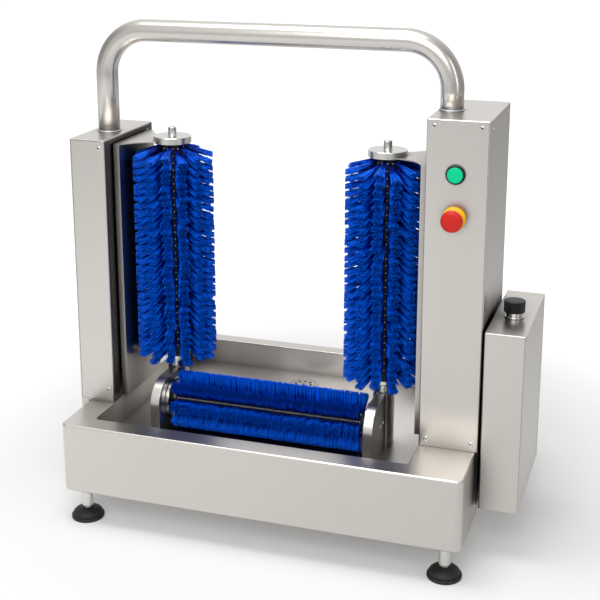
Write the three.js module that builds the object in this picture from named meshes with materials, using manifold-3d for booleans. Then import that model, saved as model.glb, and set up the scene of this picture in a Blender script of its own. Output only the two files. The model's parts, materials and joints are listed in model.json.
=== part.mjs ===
// Boot washer: a stainless base on four levelling feet with a sunken basin, two columns joined
// by a tall tube handle, two upright side brushes, one level sole brush between arched stands,
// and a detergent tank on the right column. One geared motor turns all the brushes by belts.
// Millimetres, +Z up. X runs from left to right along the front, Y from the front to the back.

import * as THREE from 'three';
import { ConvexGeometry } from 'three/addons/geometries/ConvexGeometry.js';
import { mergeVertices } from 'three/addons/utils/BufferGeometryUtils.js';
import Module from 'manifold-3d';

const wasm = await Module();
wasm.setup();

// Clearances
const seatGap = 0.3;
const runningGap = 0.4;
const cutOverrun = 4;
const shaftHoleGap = 4;

// Base and basin
const baseWidth = 700;
const baseDepth = 500;
const baseHeight = 124;
const baseCornerRadius = 12;
const baseSheet = 2;
const baseFlange = 46;
const bottomCoverLap = 12;
const floorClearance = 60;
const rimFront = 38;
const rimBack = 30;
const rimLeft = 48;
const rimRight = 96;
const basinDepth = 49;
const basinSheet = 2;
const basinHem = 10;
const basinCornerRadius = 8;

// Drain
const strainerRadius = 29;
const strainerThickness = 3;
const strainerHoleRadius = 3.2;
const strainerHoles = 8;
const strainerRingRadius = 15;
const strainerGrooveRadius = 23.5;
const strainerGrooveWidth = 1.6;
const strainerGrooveDepth = 0.8;
const strainerLip = 5;
const drainFromBack = 66;
const drainInset = 261;
const drainPipeWall = 2.5;
const drainPipeLength = 85;

// Levelling feet
const footInset = 30;
const footSocketRadius = 10;
const footSocketDrop = 36;
const footSpindleRadius = 5;
const footSpindleGrip = 30;
const footPadRadius = 28.5;
const footPadRim = 5;
const footPadHeight = 18;
const footPadTopRadius = 11;
const footPadSocket = 7;
const footNutRadius = 8;
const footNutHeight = 4;

// Columns
const columnSetback = 111;
const columnDepth = 195;
const columnSheet = 2;
const columnFoldRadius = 3;
const columnFlange = 14;
const leftColumnHeight = 478;
const leftColumnOverhang = 18;
const rightColumnHeight = 548;
const rightColumnOverhang = 4;
const skirtDrop = 95;

// Handle
const handleRadius = 19;
const handleWall = 2;
const handleRise = 657;
const handleBendRadius = 77;
const handleSetback = 199;
const handleWeldRadius = 21.5;
const handleWeldHeight = 5;
const handleRightInset = 22;

// Side brushes
const shaftRadius = 8;
const brushCoreRadius = 19;
const brushRadius = 70;
const bristleClearance = 0.8;
const brushHubRadius = 17.5;
const brushHubHeight = 12.5;
const brushHubNeckRadius = 14;
const brushHubSpacing = 8;
const brushTopSpacing = 3;
const pinRise = 15;
const strandTipRadius = 12;
const strandSink = 9;

// Guard channels and top bearings
const channelStandoff = 3;
const channelFlange = 10.5;
const channelSetback = 140;
const channelWidth = 142;
const channelSheet = 2;
const channelLift = 5;
const channelStudRadius = 6;
const bearingDrop = 3;
const bearingRadius = 33;
const bearingThickness = 12;
const bearingEdge = 1;
const armDrop = 8;
const armNeckWidth = 50;

// Sole brush and its stands
const soleFromColumn = 51;
const soleRadius = 52;
const soleFloorGap = 0.5;
const soleCoreRadius = 17;
const soleAxleRadius = 8;
const soleStrandTipRadius = 11;
const soleStrandSink = 7.5;
const flangeRadius = 37;
const flangeThickness = 6;
const standThickness = 17;
const standHalfWidth = 62;
const standRise = 46;
const standShoulderRadius = 42;
const standWall = 2.5;
const shaftGearRadius = 13.2;
const soleGearRadius = 31.2;
const screwGearGap = 0.6;
const screwGearLength = 24;
const tubeWall = 5.4;
const tubeBushLength = 12;
const tubeFootLength = 14;
const axleBoltRadius = 5;
const axleBoltHeight = 3;

// Belt drive under the basin
const pulleyTeeth = 20;
const motorPulleyTeeth = 14;
const toothPitch = 8;
const toothHeight = 2;
// Along one tooth's pitch: where the outline turns, and the share of the tooth height that is cut away
const toothShares = [[0, 1], [0.2, 0], [0.5, 0], [0.7, 1]];
const beltWidth = 10;
const beltThickness = 2.5;
const beltSpacing = 6;
const pulleyRim = 1.5;
const beltHeadroom = 5;

// Geared motor and switch gear inside the right column
const motorShaftRadius = 8;
const gearboxWidth = 84;
const gearboxHeight = 72;
const motorRadius = 38;
const motorLength = 160;
const motorRibHeight = 3;
const motorRibs = 8;
const motorRibStart = 20;
const motorRibEnd = 120;
const relayBoxWidth = 60;
const relayBoxDepth = 46;
const relayBoxHeight = 110;
const relayBoxLift = 330;
const glandRadius = 9;
const glandLength = 22;
const glandNutRadius = 12.6;
const glandNutLength = 11;
const glandBore = 4.5;
const glandLift = 60;

// Push buttons
const buttonInset = 48;
const startLift = 462;
const buttonSpacing = 70;
const panelHoleRadius = 11;
const bezelRadius = 15.5;
const bezelDepth = 5;
const bezelBand = 3;
const bezelShelf = 1;
const startCapRadius = 12.5;
const startCapProud = 2;
const startCapEdge = 0.5;
const startTravel = 3;
const stopTravel = 4;
const stopCollarRadius = 19;
const stopCollarDepth = 9;
const stopCollarBand = 3;
const stopHeadRadius = 17.5;
const stopHeadDepth = 15;
const stopHeadBackRadius = 15;
const stopHeadCrownRadius = 13;
const stopHeadBandStart = 5;
const stopHeadBandEnd = 10;
const stopHeadStemRadius = 7;
const contactBlockWidth = 28;
const contactBlockDepth = 40;

// Detergent tank
const tankGap = 4;
const tankWidth = 66;
const tankSetback = 104;
const tankDepth = 229;
const tankHeight = 306;
const tankLift = 29;
const tankSheet = 2;
const tankPadWidth = 30;
const tankPadInset = 25;
const neckFromTankFront = 90;
const neckRadius = 13.5;
const neckWall = 2;
const neckHeight = 22;
const neckExposed = 10;
const capRadius = 17.5;
const capHeight = 19;
const capWall = 3;
const capRibs = 24;
const capRibHeight = 1;
const sealThickness = 2;
const canisterGap = 4;
const canisterWall = 3;
const pumpRadius = 20;
const pumpLength = 50;
const pumpHoseRoom = 20.7;

// Facets
const largeSides = 24;
const smallSides = 16;
const studSides = 8;
const hexSides = 6;
const padSides = 16;
const cornerSides = 2;
const archSides = 5;
const beltSides = 8;
const tubeSides = 8;
const bendSteps = 5;
const domeSteps = 3;

// Brush patterns
const strandColumns = 10;
const strandsInColumn = 10;
const soleRows = 8;
const strandsInRow = 13;
const strandSides = 3;

// Heights
const baseBottom = floorClearance;
const rimTop = baseBottom + baseHeight;
const basinFloor = rimTop - basinDepth;
const leftTop = rimTop + leftColumnHeight;
const rightTop = rimTop + rightColumnHeight;
const skirtBottom = rimTop - skirtDrop;
const soleAxleZ = basinFloor + soleRadius + soleFloorGap;
const standTop = soleAxleZ + standRise;
const bearingTop = leftTop - bearingDrop;
const bearingBottom = bearingTop - bearingThickness;
const armTop = bearingTop - armDrop;
const hubBottom = standTop + runningGap + seatGap;
const brushBottom = hubBottom + brushHubHeight + brushHubSpacing;
const brushTop = bearingBottom - brushTopSpacing;
const shaftBottomStop = basinFloor - basinSheet - tubeFootLength;
const startZ = rimTop + startLift;
const stopZ = startZ - buttonSpacing;

// Places across and along the base
const openingLeft = rimLeft;
const openingRight = baseWidth - rimRight;
const openingFront = rimFront;
const openingBack = baseDepth - rimBack;
const drainSetback = openingBack - drainFromBack;
const soleSetback = columnSetback + soleFromColumn;
const columnBack = columnSetback + columnDepth;
const rightColumnRight = baseWidth + rightColumnOverhang;
const brushInset = channelStandoff + channelFlange + bristleClearance + brushRadius;
const leftAxisX = openingLeft + brushInset;
const rightAxisX = openingRight - brushInset;
const brushAxisY = soleSetback + soleGearRadius + screwGearGap + shaftGearRadius;
const drainX = openingLeft + drainInset;
const motorX = (openingRight + rightColumnRight) / 2;
const buttonX = openingRight + buttonInset;
const tankLeft = rightColumnRight + tankGap;
const tankRight = tankLeft + tankWidth;
const tankBottom = baseBottom + tankLift;
const tankTop = tankBottom + tankHeight;
const neckX = (tankLeft + tankRight) / 2;
const neckSetback = tankSetback + neckFromTankFront;

const steel = new THREE.MeshStandardMaterial({ color: 0xc9c6c0, roughness: 0.38, metalness: 1 });
const brightSteel = new THREE.MeshStandardMaterial({ color: 0xd6d4d0, roughness: 0.18, metalness: 1 });
const bristleBlue = new THREE.MeshStandardMaterial({ color: 0x0a44c8, roughness: 0.55, metalness: 0 });
const blackRubber = new THREE.MeshStandardMaterial({ color: 0x141414, roughness: 0.8, metalness: 0 });
const blackPlastic = new THREE.MeshStandardMaterial({ color: 0x1b1b1c, roughness: 0.45, metalness: 0 });
const greenPlastic = new THREE.MeshStandardMaterial({ color: 0x0fae7d, roughness: 0.35, metalness: 0 });
const redPlastic = new THREE.MeshStandardMaterial({ color: 0xc8202a, roughness: 0.35, metalness: 0 });
const yellowPlastic = new THREE.MeshStandardMaterial({ color: 0xe8b920, roughness: 0.45, metalness: 0 });
const greyPlastic = new THREE.MeshStandardMaterial({ color: 0xb8b8b4, roughness: 0.6, metalness: 0 });
const castAluminium = new THREE.MeshStandardMaterial({ color: 0x9a9ca0, roughness: 0.5, metalness: 1 });

const machine = new THREE.Group();

// Six times the volume that a closed indexed mesh holds, negative when it is inside out
function signedVolume(positions, indices) {
  const a = new THREE.Vector3();
  const b = new THREE.Vector3();
  const c = new THREE.Vector3();
  let total = 0;
  for (let i = 0; i < indices.length; i += 3) {
    a.fromArray(positions, indices[i] * 3);
    b.fromArray(positions, indices[i + 1] * 3);
    c.fromArray(positions, indices[i + 2] * 3);
    total += a.dot(b.cross(c));
  }
  return total;
}

// A solid for cutting and joining, made from a closed geometry whichever way round it was drawn
function solid(geometry) {
  const bare = geometry.clone();
  bare.deleteAttribute('normal');
  bare.deleteAttribute('uv');
  const merged = mergeVertices(bare);
  const vertProperties = new Float32Array(merged.attributes.position.array);
  const triVerts = new Uint32Array(merged.index.array);
  if (signedVolume(vertProperties, triVerts) < 0) {
    for (let i = 0; i < triVerts.length; i += 3) {
      [triVerts[i + 1], triVerts[i + 2]] = [triVerts[i + 2], triVerts[i + 1]];
    }
  }
  return new wasm.Manifold(new wasm.Mesh({ numProp: 3, vertProperties, triVerts }));
}

// Puts a finished solid into the machine under its name
function addPart(name, shape, material) {
  const mesh = shape.getMesh();
  const geometry = new THREE.BufferGeometry();
  geometry.setAttribute('position', new THREE.BufferAttribute(mesh.vertProperties, 3));
  geometry.setIndex(new THREE.BufferAttribute(mesh.triVerts, 1));
  geometry.computeVertexNormals();
  const part = new THREE.Mesh(geometry, material);
  part.name = name;
  machine.add(part);
}

const joined = (first, ...others) => others.reduce((whole, piece) => whole.add(piece), first);
const cut = (first, ...others) => others.reduce((whole, piece) => whole.subtract(piece), first);

function box(x0, x1, y0, y1, z0, z1) {
  const geometry = new THREE.BoxGeometry(x1 - x0, y1 - y0, z1 - z0);
  geometry.translate((x0 + x1) / 2, (y0 + y1) / 2, (z0 + z1) / 2);
  return solid(geometry);
}

function cylinderZ(x, y, z0, z1, radius, sides = largeSides, turn = 0) {
  const geometry = new THREE.CylinderGeometry(radius, radius, z1 - z0, sides);
  geometry.rotateX(Math.PI / 2);
  geometry.rotateZ(turn);
  geometry.translate(x, y, (z0 + z1) / 2);
  return solid(geometry);
}

function cylinderX(x0, x1, y, z, radius, sides = largeSides, turn = 0) {
  const geometry = new THREE.CylinderGeometry(radius, radius, x1 - x0, sides);
  geometry.rotateZ(Math.PI / 2);
  geometry.rotateX(turn);
  geometry.translate((x0 + x1) / 2, y, z);
  return solid(geometry);
}

function cylinderY(y0, y1, x, z, radius, sides = largeSides) {
  const geometry = new THREE.CylinderGeometry(radius, radius, y1 - y0, sides);
  geometry.translate(x, (y0 + y1) / 2, z);
  return solid(geometry);
}

// Turns a closed profile of [radius, height] pairs about an upright axis
function turned(profile, x, y, sides = largeSides) {
  const geometry = new THREE.LatheGeometry(profile.map(([r, h]) => new THREE.Vector2(r, h)), sides);
  geometry.rotateX(Math.PI / 2);
  geometry.translate(x, y, 0);
  return solid(geometry);
}

// Turns a closed profile of [radius, distance] pairs about an axis that points to the front
function turnedToFront(profile, x, z, yBack, sides = largeSides) {
  const geometry = new THREE.LatheGeometry(profile.map(([r, d]) => new THREE.Vector2(r, -d)), sides);
  geometry.translate(x, yBack, z);
  return solid(geometry);
}

function roundedRect(x0, x1, y0, y1, radius) {
  const shape = new THREE.Shape();
  shape.moveTo(x0 + radius, y0);
  shape.lineTo(x1 - radius, y0);
  shape.absarc(x1 - radius, y0 + radius, radius, -Math.PI / 2, 0);
  shape.lineTo(x1, y1 - radius);
  shape.absarc(x1 - radius, y1 - radius, radius, 0, Math.PI / 2);
  shape.lineTo(x0 + radius, y1);
  shape.absarc(x0 + radius, y1 - radius, radius, Math.PI / 2, Math.PI);
  shape.lineTo(x0, y0 + radius);
  shape.absarc(x0 + radius, y0 + radius, radius, Math.PI, 1.5 * Math.PI);
  return shape;
}

function extrudeZ(shape, z0, z1, curveSegments = cornerSides) {
  const geometry = new THREE.ExtrudeGeometry(shape, { depth: z1 - z0, bevelEnabled: false, curveSegments });
  geometry.translate(0, 0, z0);
  return solid(geometry);
}

// Extrudes a shape drawn in Y and Z along X
function extrudeX(shape, x0, x1, curveSegments = cornerSides) {
  const geometry = new THREE.ExtrudeGeometry(shape, { depth: x1 - x0, bevelEnabled: false, curveSegments });
  const toSide = new THREE.Matrix4().makeBasis(
    new THREE.Vector3(0, 1, 0), new THREE.Vector3(0, 0, 1), new THREE.Vector3(1, 0, 0));
  geometry.applyMatrix4(toSide);
  geometry.translate(x0, 0, 0);
  return solid(geometry);
}

// An upright box with rounded vertical folds
function foldedBox(x0, x1, y0, y1, z0, z1, radius) {
  return extrudeZ(roundedRect(x0, x1, y0, y1, radius), z0, z1);
}

// Base: rim plate with the basin opening, four walls, a return flange and four foot sockets
const footPlaces = {
  front_left: [footInset, footInset],
  front_right: [baseWidth - footInset, footInset],
  back_left: [footInset, baseDepth - footInset],
  back_right: [baseWidth - footInset, baseDepth - footInset],
};

function makeBase() {
  const shell = foldedBox(0, baseWidth, 0, baseDepth, baseBottom, rimTop, baseCornerRadius);
  const hollow = foldedBox(baseSheet, baseWidth - baseSheet, baseSheet, baseDepth - baseSheet,
    baseBottom + baseSheet, rimTop - baseSheet, baseCornerRadius - baseSheet);
  const opening = foldedBox(openingLeft, openingRight, openingFront, openingBack,
    rimTop - baseSheet - cutOverrun, rimTop + cutOverrun, basinCornerRadius);
  const underside = box(baseFlange, baseWidth - baseFlange, baseFlange, baseDepth - baseFlange,
    baseBottom - cutOverrun, baseBottom + baseSheet + cutOverrun);
  const shaftHole = cylinderZ(motorX, brushAxisY, rimTop - baseSheet - cutOverrun, rimTop + cutOverrun,
    motorShaftRadius + shaftHoleGap, smallSides);
  let frame = cut(shell, hollow, opening, underside, shaftHole);
  for (const [x, y] of Object.values(footPlaces)) {
    const socket = cylinderZ(x, y, baseBottom - footSocketDrop, baseBottom + baseSheet, footSocketRadius,
      smallSides);
    const bore = cylinderZ(x, y, baseBottom - footSocketDrop - cutOverrun,
      baseBottom + baseSheet + cutOverrun,
      footSpindleRadius + runningGap, smallSides);
    frame = frame.add(socket).subtract(bore);
  }
  addPart('base_frame', frame, steel);
}

// Basin: a deep tray that hangs by a hem under the rim, with shaft holes and a drain pipe
function makeBasin() {
  const hemTop = rimTop - baseSheet - seatGap;
  const floorBottom = basinFloor - basinSheet;
  const hem = foldedBox(openingLeft - basinHem, openingRight + basinHem, openingFront - basinHem,
    openingBack + basinHem, hemTop - basinSheet, hemTop, basinCornerRadius);
  const tub = foldedBox(openingLeft - basinSheet, openingRight + basinSheet, openingFront - basinSheet,
    openingBack + basinSheet, floorBottom, hemTop, basinCornerRadius + basinSheet);
  const space = foldedBox(openingLeft, openingRight, openingFront, openingBack, basinFloor,
    hemTop + cutOverrun, basinCornerRadius);
  const tubeRadius = shaftGearRadius + runningGap + tubeWall + seatGap;
  const pipeRadius = strainerRadius - strainerLip + drainPipeWall;
  const pipe = cylinderZ(drainX, drainSetback, floorBottom - drainPipeLength, basinFloor, pipeRadius);
  const pipeBore = cylinderZ(drainX, drainSetback, floorBottom - drainPipeLength - cutOverrun,
    basinFloor + cutOverrun, pipeRadius - drainPipeWall);
  let tray = hem.add(tub).subtract(space).add(pipe).subtract(pipeBore);
  for (const x of [leftAxisX, rightAxisX]) {
    tray = tray.subtract(cylinderZ(x, brushAxisY, floorBottom - cutOverrun, basinFloor + cutOverrun,
      tubeRadius));
  }
  addPart('basin_tray', tray, steel);
}

// Bottom cover: a plate that lies on the base's return flange and closes the belt drive from below
function makeBottomCover() {
  const edge = baseFlange - bottomCoverLap;
  const bottom = baseBottom + baseSheet + seatGap;
  const plate = box(edge, baseWidth - edge, edge, baseDepth - edge, bottom, bottom + baseSheet);
  const pipeRadius = strainerRadius - strainerLip + drainPipeWall;
  let cover = plate.subtract(cylinderZ(drainX, drainSetback, bottom - cutOverrun,
    bottom + baseSheet + cutOverrun, pipeRadius + seatGap));
  for (const [x, y] of Object.values(footPlaces)) {
    cover = cover.subtract(cylinderZ(x, y, bottom - cutOverrun, bottom + baseSheet + cutOverrun,
      footSocketRadius + seatGap, smallSides));
  }
  addPart('bottom_cover', cover, steel);
}

// Strainer: a loose disc over the drain with one centre hole, eight around it and a turned groove
function makeStrainer() {
  const bottom = basinFloor + seatGap;
  const top = bottom + strainerThickness;
  let disc = cylinderZ(drainX, drainSetback, bottom, top, strainerRadius);
  const groove = cut(
    cylinderZ(drainX, drainSetback, top - strainerGrooveDepth, top + cutOverrun,
      strainerGrooveRadius + strainerGrooveWidth / 2),
    cylinderZ(drainX, drainSetback, top - strainerGrooveDepth - cutOverrun, top + cutOverrun,
      strainerGrooveRadius - strainerGrooveWidth / 2));
  disc = disc.subtract(groove);
  const places = [[0, 0]];
  for (let i = 0; i < strainerHoles; i += 1) {
    const angle = (i / strainerHoles) * 2 * Math.PI;
    places.push([strainerRingRadius * Math.cos(angle), strainerRingRadius * Math.sin(angle)]);
  }
  for (const [dx, dy] of places) {
    disc = disc.subtract(cylinderZ(drainX + dx, drainSetback + dy, bottom - cutOverrun, top + cutOverrun,
      strainerHoleRadius, studSides));
  }
  addPart('drain_strainer', disc, steel);
}

// Levelling feet: a spindle with a small nut, in a domed rubber pad
function makeFeet() {
  const spindleBottom = footPadHeight - footPadSocket + seatGap;
  const spindleTop = baseBottom - footSocketDrop + footSpindleGrip;
  for (const [corner, [x, y]] of Object.entries(footPlaces)) {
    const nut = cylinderZ(x, y, footPadHeight + seatGap, footPadHeight + seatGap + footNutHeight,
      footNutRadius, hexSides);
    const spindle = cylinderZ(x, y, spindleBottom, spindleTop, footSpindleRadius, smallSides).add(nut);
    addPart(`foot_spindle_${corner}`, spindle, brightSteel);
    const domePoints = [[0, 0], [footPadRadius, 0], [footPadRadius, footPadRim]];
    for (let i = 1; i <= domeSteps; i += 1) {
      const angle = (i / domeSteps) * (Math.PI / 2);
      domePoints.push([
        footPadTopRadius + (footPadRadius - footPadTopRadius) * Math.cos(angle),
        footPadRim + (footPadHeight - footPadRim) * Math.sin(angle),
      ]);
    }
    domePoints.push([0, footPadHeight]);
    const pad = turned(domePoints, x, y, padSides).subtract(cylinderZ(x, y, footPadHeight - footPadSocket,
      footPadHeight + cutOverrun, footSpindleRadius + seatGap, smallSides));
    addPart(`foot_pad_${corner}`, pad, blackRubber);
  }
}

// Left column: an outer shell with a skirt beside the base, and a folded front and side cover
function makeLeftColumn() {
  const left = -leftColumnOverhang;
  const right = openingLeft;
  const bottom = rimTop + seatGap;
  const skirtRight = -seatGap;
  const outer = joined(
    foldedBox(left, right, columnSetback, columnBack, bottom, leftTop, columnFoldRadius),
    foldedBox(left, skirtRight, columnSetback, columnBack, skirtBottom, bottom + columnSheet,
      columnFoldRadius));
  const inner = joined(
    box(left + columnSheet, right - columnSheet, columnSetback + columnSheet, columnBack - columnSheet,
      bottom + columnSheet, leftTop - columnSheet),
    box(left + columnSheet, skirtRight - columnSheet, columnSetback + columnSheet, columnBack - columnSheet,
      skirtBottom + columnSheet, bottom + columnSheet + cutOverrun));
  const coverBottom = bottom + columnFoldRadius;
  const coverTop = leftTop - columnSheet - seatGap;
  const coverLeft = left + columnFoldRadius;
  const coverBack = columnBack - columnFlange;
  const coverBand = joined(
    box(coverLeft - seatGap, right + cutOverrun, columnSetback - cutOverrun,
      columnSetback + columnSheet + seatGap,
      coverBottom - seatGap, coverTop + seatGap),
    box(right - columnSheet - seatGap, right + cutOverrun, columnSetback - cutOverrun, coverBack + seatGap,
      coverBottom - seatGap, coverTop + seatGap));
  addPart('left_column_housing', cut(outer, inner, coverBand), steel);

  const coverOuter = foldedBox(left, right, columnSetback, columnBack, coverBottom, coverTop,
    columnFoldRadius);
  const coverInner = box(left - cutOverrun, right - columnSheet, columnSetback + columnSheet,
    columnBack + cutOverrun, coverBottom - cutOverrun, coverTop + cutOverrun);
  const beyondLeft = box(left - cutOverrun, coverLeft, columnSetback - cutOverrun, columnBack + cutOverrun,
    coverBottom - cutOverrun, coverTop + cutOverrun);
  const beyondBack = box(left - cutOverrun, right + cutOverrun, coverBack, columnBack + cutOverrun,
    coverBottom - cutOverrun, coverTop + cutOverrun);
  addPart('left_column_cover', cut(coverOuter, coverInner, beyondLeft, beyondBack), steel);
}

// Right column: housing open at the front and the right, closed by two screwed covers
function makeRightColumn() {
  const left = openingRight;
  const right = rightColumnRight;
  const bottom = rimTop + seatGap;
  const outer = foldedBox(left, right, columnSetback, columnBack, bottom, rightTop, columnFoldRadius);
  const inner = box(left + columnSheet, right - columnSheet, columnSetback + columnSheet,
    columnBack - columnSheet, bottom + columnSheet, rightTop - columnSheet);
  const coverTop = rightTop - columnSheet - seatGap;
  const frontCoverRight = right - columnSheet - seatGap;
  const frontBand = box(left + columnSheet + seatGap, right + cutOverrun, columnSetback - cutOverrun,
    columnSetback + columnSheet + seatGap, bottom - cutOverrun, coverTop + seatGap);
  const frontEdge = box(left - cutOverrun, right + cutOverrun, columnSetback - cutOverrun,
    columnSetback + columnSheet + seatGap, bottom - cutOverrun, coverTop + seatGap);
  const sideBand = box(right - columnSheet - seatGap, right + cutOverrun, columnSetback - cutOverrun,
    columnBack + cutOverrun, bottom - cutOverrun, coverTop + seatGap);
  const shaftHole = cylinderZ(motorX, brushAxisY, bottom - cutOverrun, bottom + columnSheet + cutOverrun,
    motorShaftRadius + shaftHoleGap, smallSides);
  const glandHole = cylinderY(columnBack - columnSheet - cutOverrun, columnBack + cutOverrun, motorX,
    bottom + glandLift, glandRadius + seatGap, smallSides);
  const housing = cut(outer, inner, frontBand, frontEdge, sideBand, shaftHole, glandHole);
  addPart('right_column_housing', housing, steel);

  const frontRound = foldedBox(left, right + columnFoldRadius + cutOverrun, columnSetback, columnBack,
    bottom, coverTop, columnFoldRadius);
  const frontPlate = frontRound.intersect(box(left - cutOverrun, frontCoverRight, columnSetback - cutOverrun,
    columnSetback + columnSheet, bottom - cutOverrun, coverTop + cutOverrun));
  const holes = [startZ, stopZ].map((z) => cylinderY(columnSetback - cutOverrun,
    columnSetback + columnSheet + cutOverrun, buttonX, z, panelHoleRadius));
  addPart('right_column_front_cover', cut(frontPlate, ...holes), steel);

  const sideRound = foldedBox(left, right, columnSetback, columnBack, skirtBottom, coverTop,
    columnFoldRadius);
  const sidePlate = sideRound.intersect(box(right - columnSheet, right + cutOverrun,
    columnSetback - cutOverrun, columnBack + cutOverrun, skirtBottom - cutOverrun, coverTop + cutOverrun));
  addPart('right_column_side_cover', sidePlate, steel);
}

// A path through given points, so that a swept section turns exactly at them
class PointPath extends THREE.Curve {
  constructor(points) {
    super();
    this.points = points;
  }

  getPointAt(u, target = new THREE.Vector3()) {
    return target.copy(this.points[Math.round(u * (this.points.length - 1))]);
  }

  getTangentAt(u, target = new THREE.Vector3()) {
    const last = this.points.length - 1;
    const i = Math.round(u * last);
    const from = this.points[Math.min(i, last - 1)];
    const ahead = this.points[Math.min(i + 1, last)].clone().sub(from).normalize();
    const behind = this.points[Math.max(i, 1)].clone().sub(this.points[Math.max(i - 1, 0)]).normalize();
    return target.copy(ahead.add(behind).normalize());
  }
}

// Handle: one bent tube with a longer left leg, welded to both column tops
function makeHandle() {
  const leftX = (openingLeft - leftColumnOverhang) / 2;
  const rightX = openingRight + handleRightInset;
  const top = rimTop + handleRise;
  const points = [new THREE.Vector3(leftX, handleSetback, leftTop + seatGap)];
  for (let i = 0; i <= bendSteps; i += 1) {
    const angle = Math.PI - (i / bendSteps) * (Math.PI / 2);
    points.push(new THREE.Vector3(leftX + handleBendRadius + handleBendRadius * Math.cos(angle),
      handleSetback,
      top - handleBendRadius + handleBendRadius * Math.sin(angle)));
  }
  for (let i = 0; i <= bendSteps; i += 1) {
    const angle = Math.PI / 2 - (i / bendSteps) * (Math.PI / 2);
    points.push(new THREE.Vector3(rightX - handleBendRadius + handleBendRadius * Math.cos(angle),
      handleSetback,
      top - handleBendRadius + handleBendRadius * Math.sin(angle)));
  }
  points.push(new THREE.Vector3(rightX, handleSetback, rightTop + seatGap));
  const section = new THREE.Shape();
  section.absarc(0, 0, handleRadius, 0, 2 * Math.PI);
  const bore = new THREE.Path();
  bore.absarc(0, 0, handleRadius - handleWall, 0, 2 * Math.PI);
  section.holes.push(bore);
  const tube = solid(new THREE.ExtrudeGeometry(section, {
    steps: points.length - 1,
    curveSegments: tubeSides,
    bevelEnabled: false,
    extrudePath: new PointPath(points),
  }));
  const weld = (x, z) => turned([[handleRadius - handleWall / 2, z], [handleWeldRadius, z],
    [handleWeldRadius, z + handleWeldHeight / 2], [handleRadius - handleWall / 2, z + handleWeldHeight],
    [handleRadius - handleWall / 2, z]], x, handleSetback, 2 * tubeSides);
  addPart('handle_tube', joined(tube, weld(leftX, leftTop + seatGap), weld(rightX, rightTop + seatGap)),
    steel);
}

// Guard channel behind a side brush: web and two flanges, a flared arm on top, and studs to the column.
// side is 1 where the brush lies to the right of its column and -1 where it lies to the left.
function makeChannel(name, faceX, axisX, side) {
  const across = (distance) => faceX + side * distance;
  const span = (a, b) => [Math.min(across(a), across(b)), Math.max(across(a), across(b))];
  const webOuter = channelStandoff + channelFlange;
  const front = channelSetback;
  const back = channelSetback + channelWidth;
  const bottom = rimTop + channelLift;
  const [webLow, webHigh] = span(webOuter - channelSheet, webOuter);
  const [lipLow, lipHigh] = span(channelStandoff, webOuter);
  const pieces = [
    box(webLow, webHigh, front, back, bottom, armTop),
    box(lipLow, lipHigh, front, front + channelSheet, bottom, armTop),
    box(lipLow, lipHigh, back - channelSheet, back, bottom, armTop),
  ];
  const studInset = channelWidth / 4;
  const [studLow, studHigh] = span(seatGap, webOuter - channelSheet / 2);
  for (const y of [front + studInset, back - studInset]) {
    for (const z of [bottom + studInset, armTop - studInset]) {
      pieces.push(cylinderX(studLow, studHigh, y, z, channelStudRadius, studSides));
    }
  }
  const arm = new THREE.Shape();
  const neckHalf = armNeckWidth / 2;
  const towards = axisX - side * (bearingRadius - channelSheet);
  arm.moveTo(across(channelStandoff), front);
  arm.lineTo(across(webOuter), front);
  arm.quadraticCurveTo((across(webOuter) + towards) / 2, brushAxisY - neckHalf, axisX, brushAxisY - neckHalf);
  arm.lineTo(axisX, brushAxisY + neckHalf);
  arm.quadraticCurveTo((across(webOuter) + towards) / 2, brushAxisY + neckHalf, across(webOuter), back);
  arm.lineTo(across(channelStandoff), back);
  const plate = extrudeZ(arm, armTop - channelSheet, armTop, archSides);
  const seat = cylinderZ(axisX, brushAxisY, armTop - channelSheet - cutOverrun, armTop + cutOverrun,
    bearingRadius + seatGap);
  addPart(name, joined(...pieces, plate).subtract(seat), steel);
}

function makeTopBearing(name, axisX) {
  const edge = bearingEdge;
  const bore = shaftRadius + runningGap;
  addPart(name, turned([[bore, bearingBottom], [bearingRadius - edge, bearingBottom],
    [bearingRadius, bearingBottom + edge], [bearingRadius, bearingTop - edge],
    [bearingRadius - edge, bearingTop], [bore, bearingTop], [bore, bearingBottom]], axisX, brushAxisY),
  steel);
}

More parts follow.
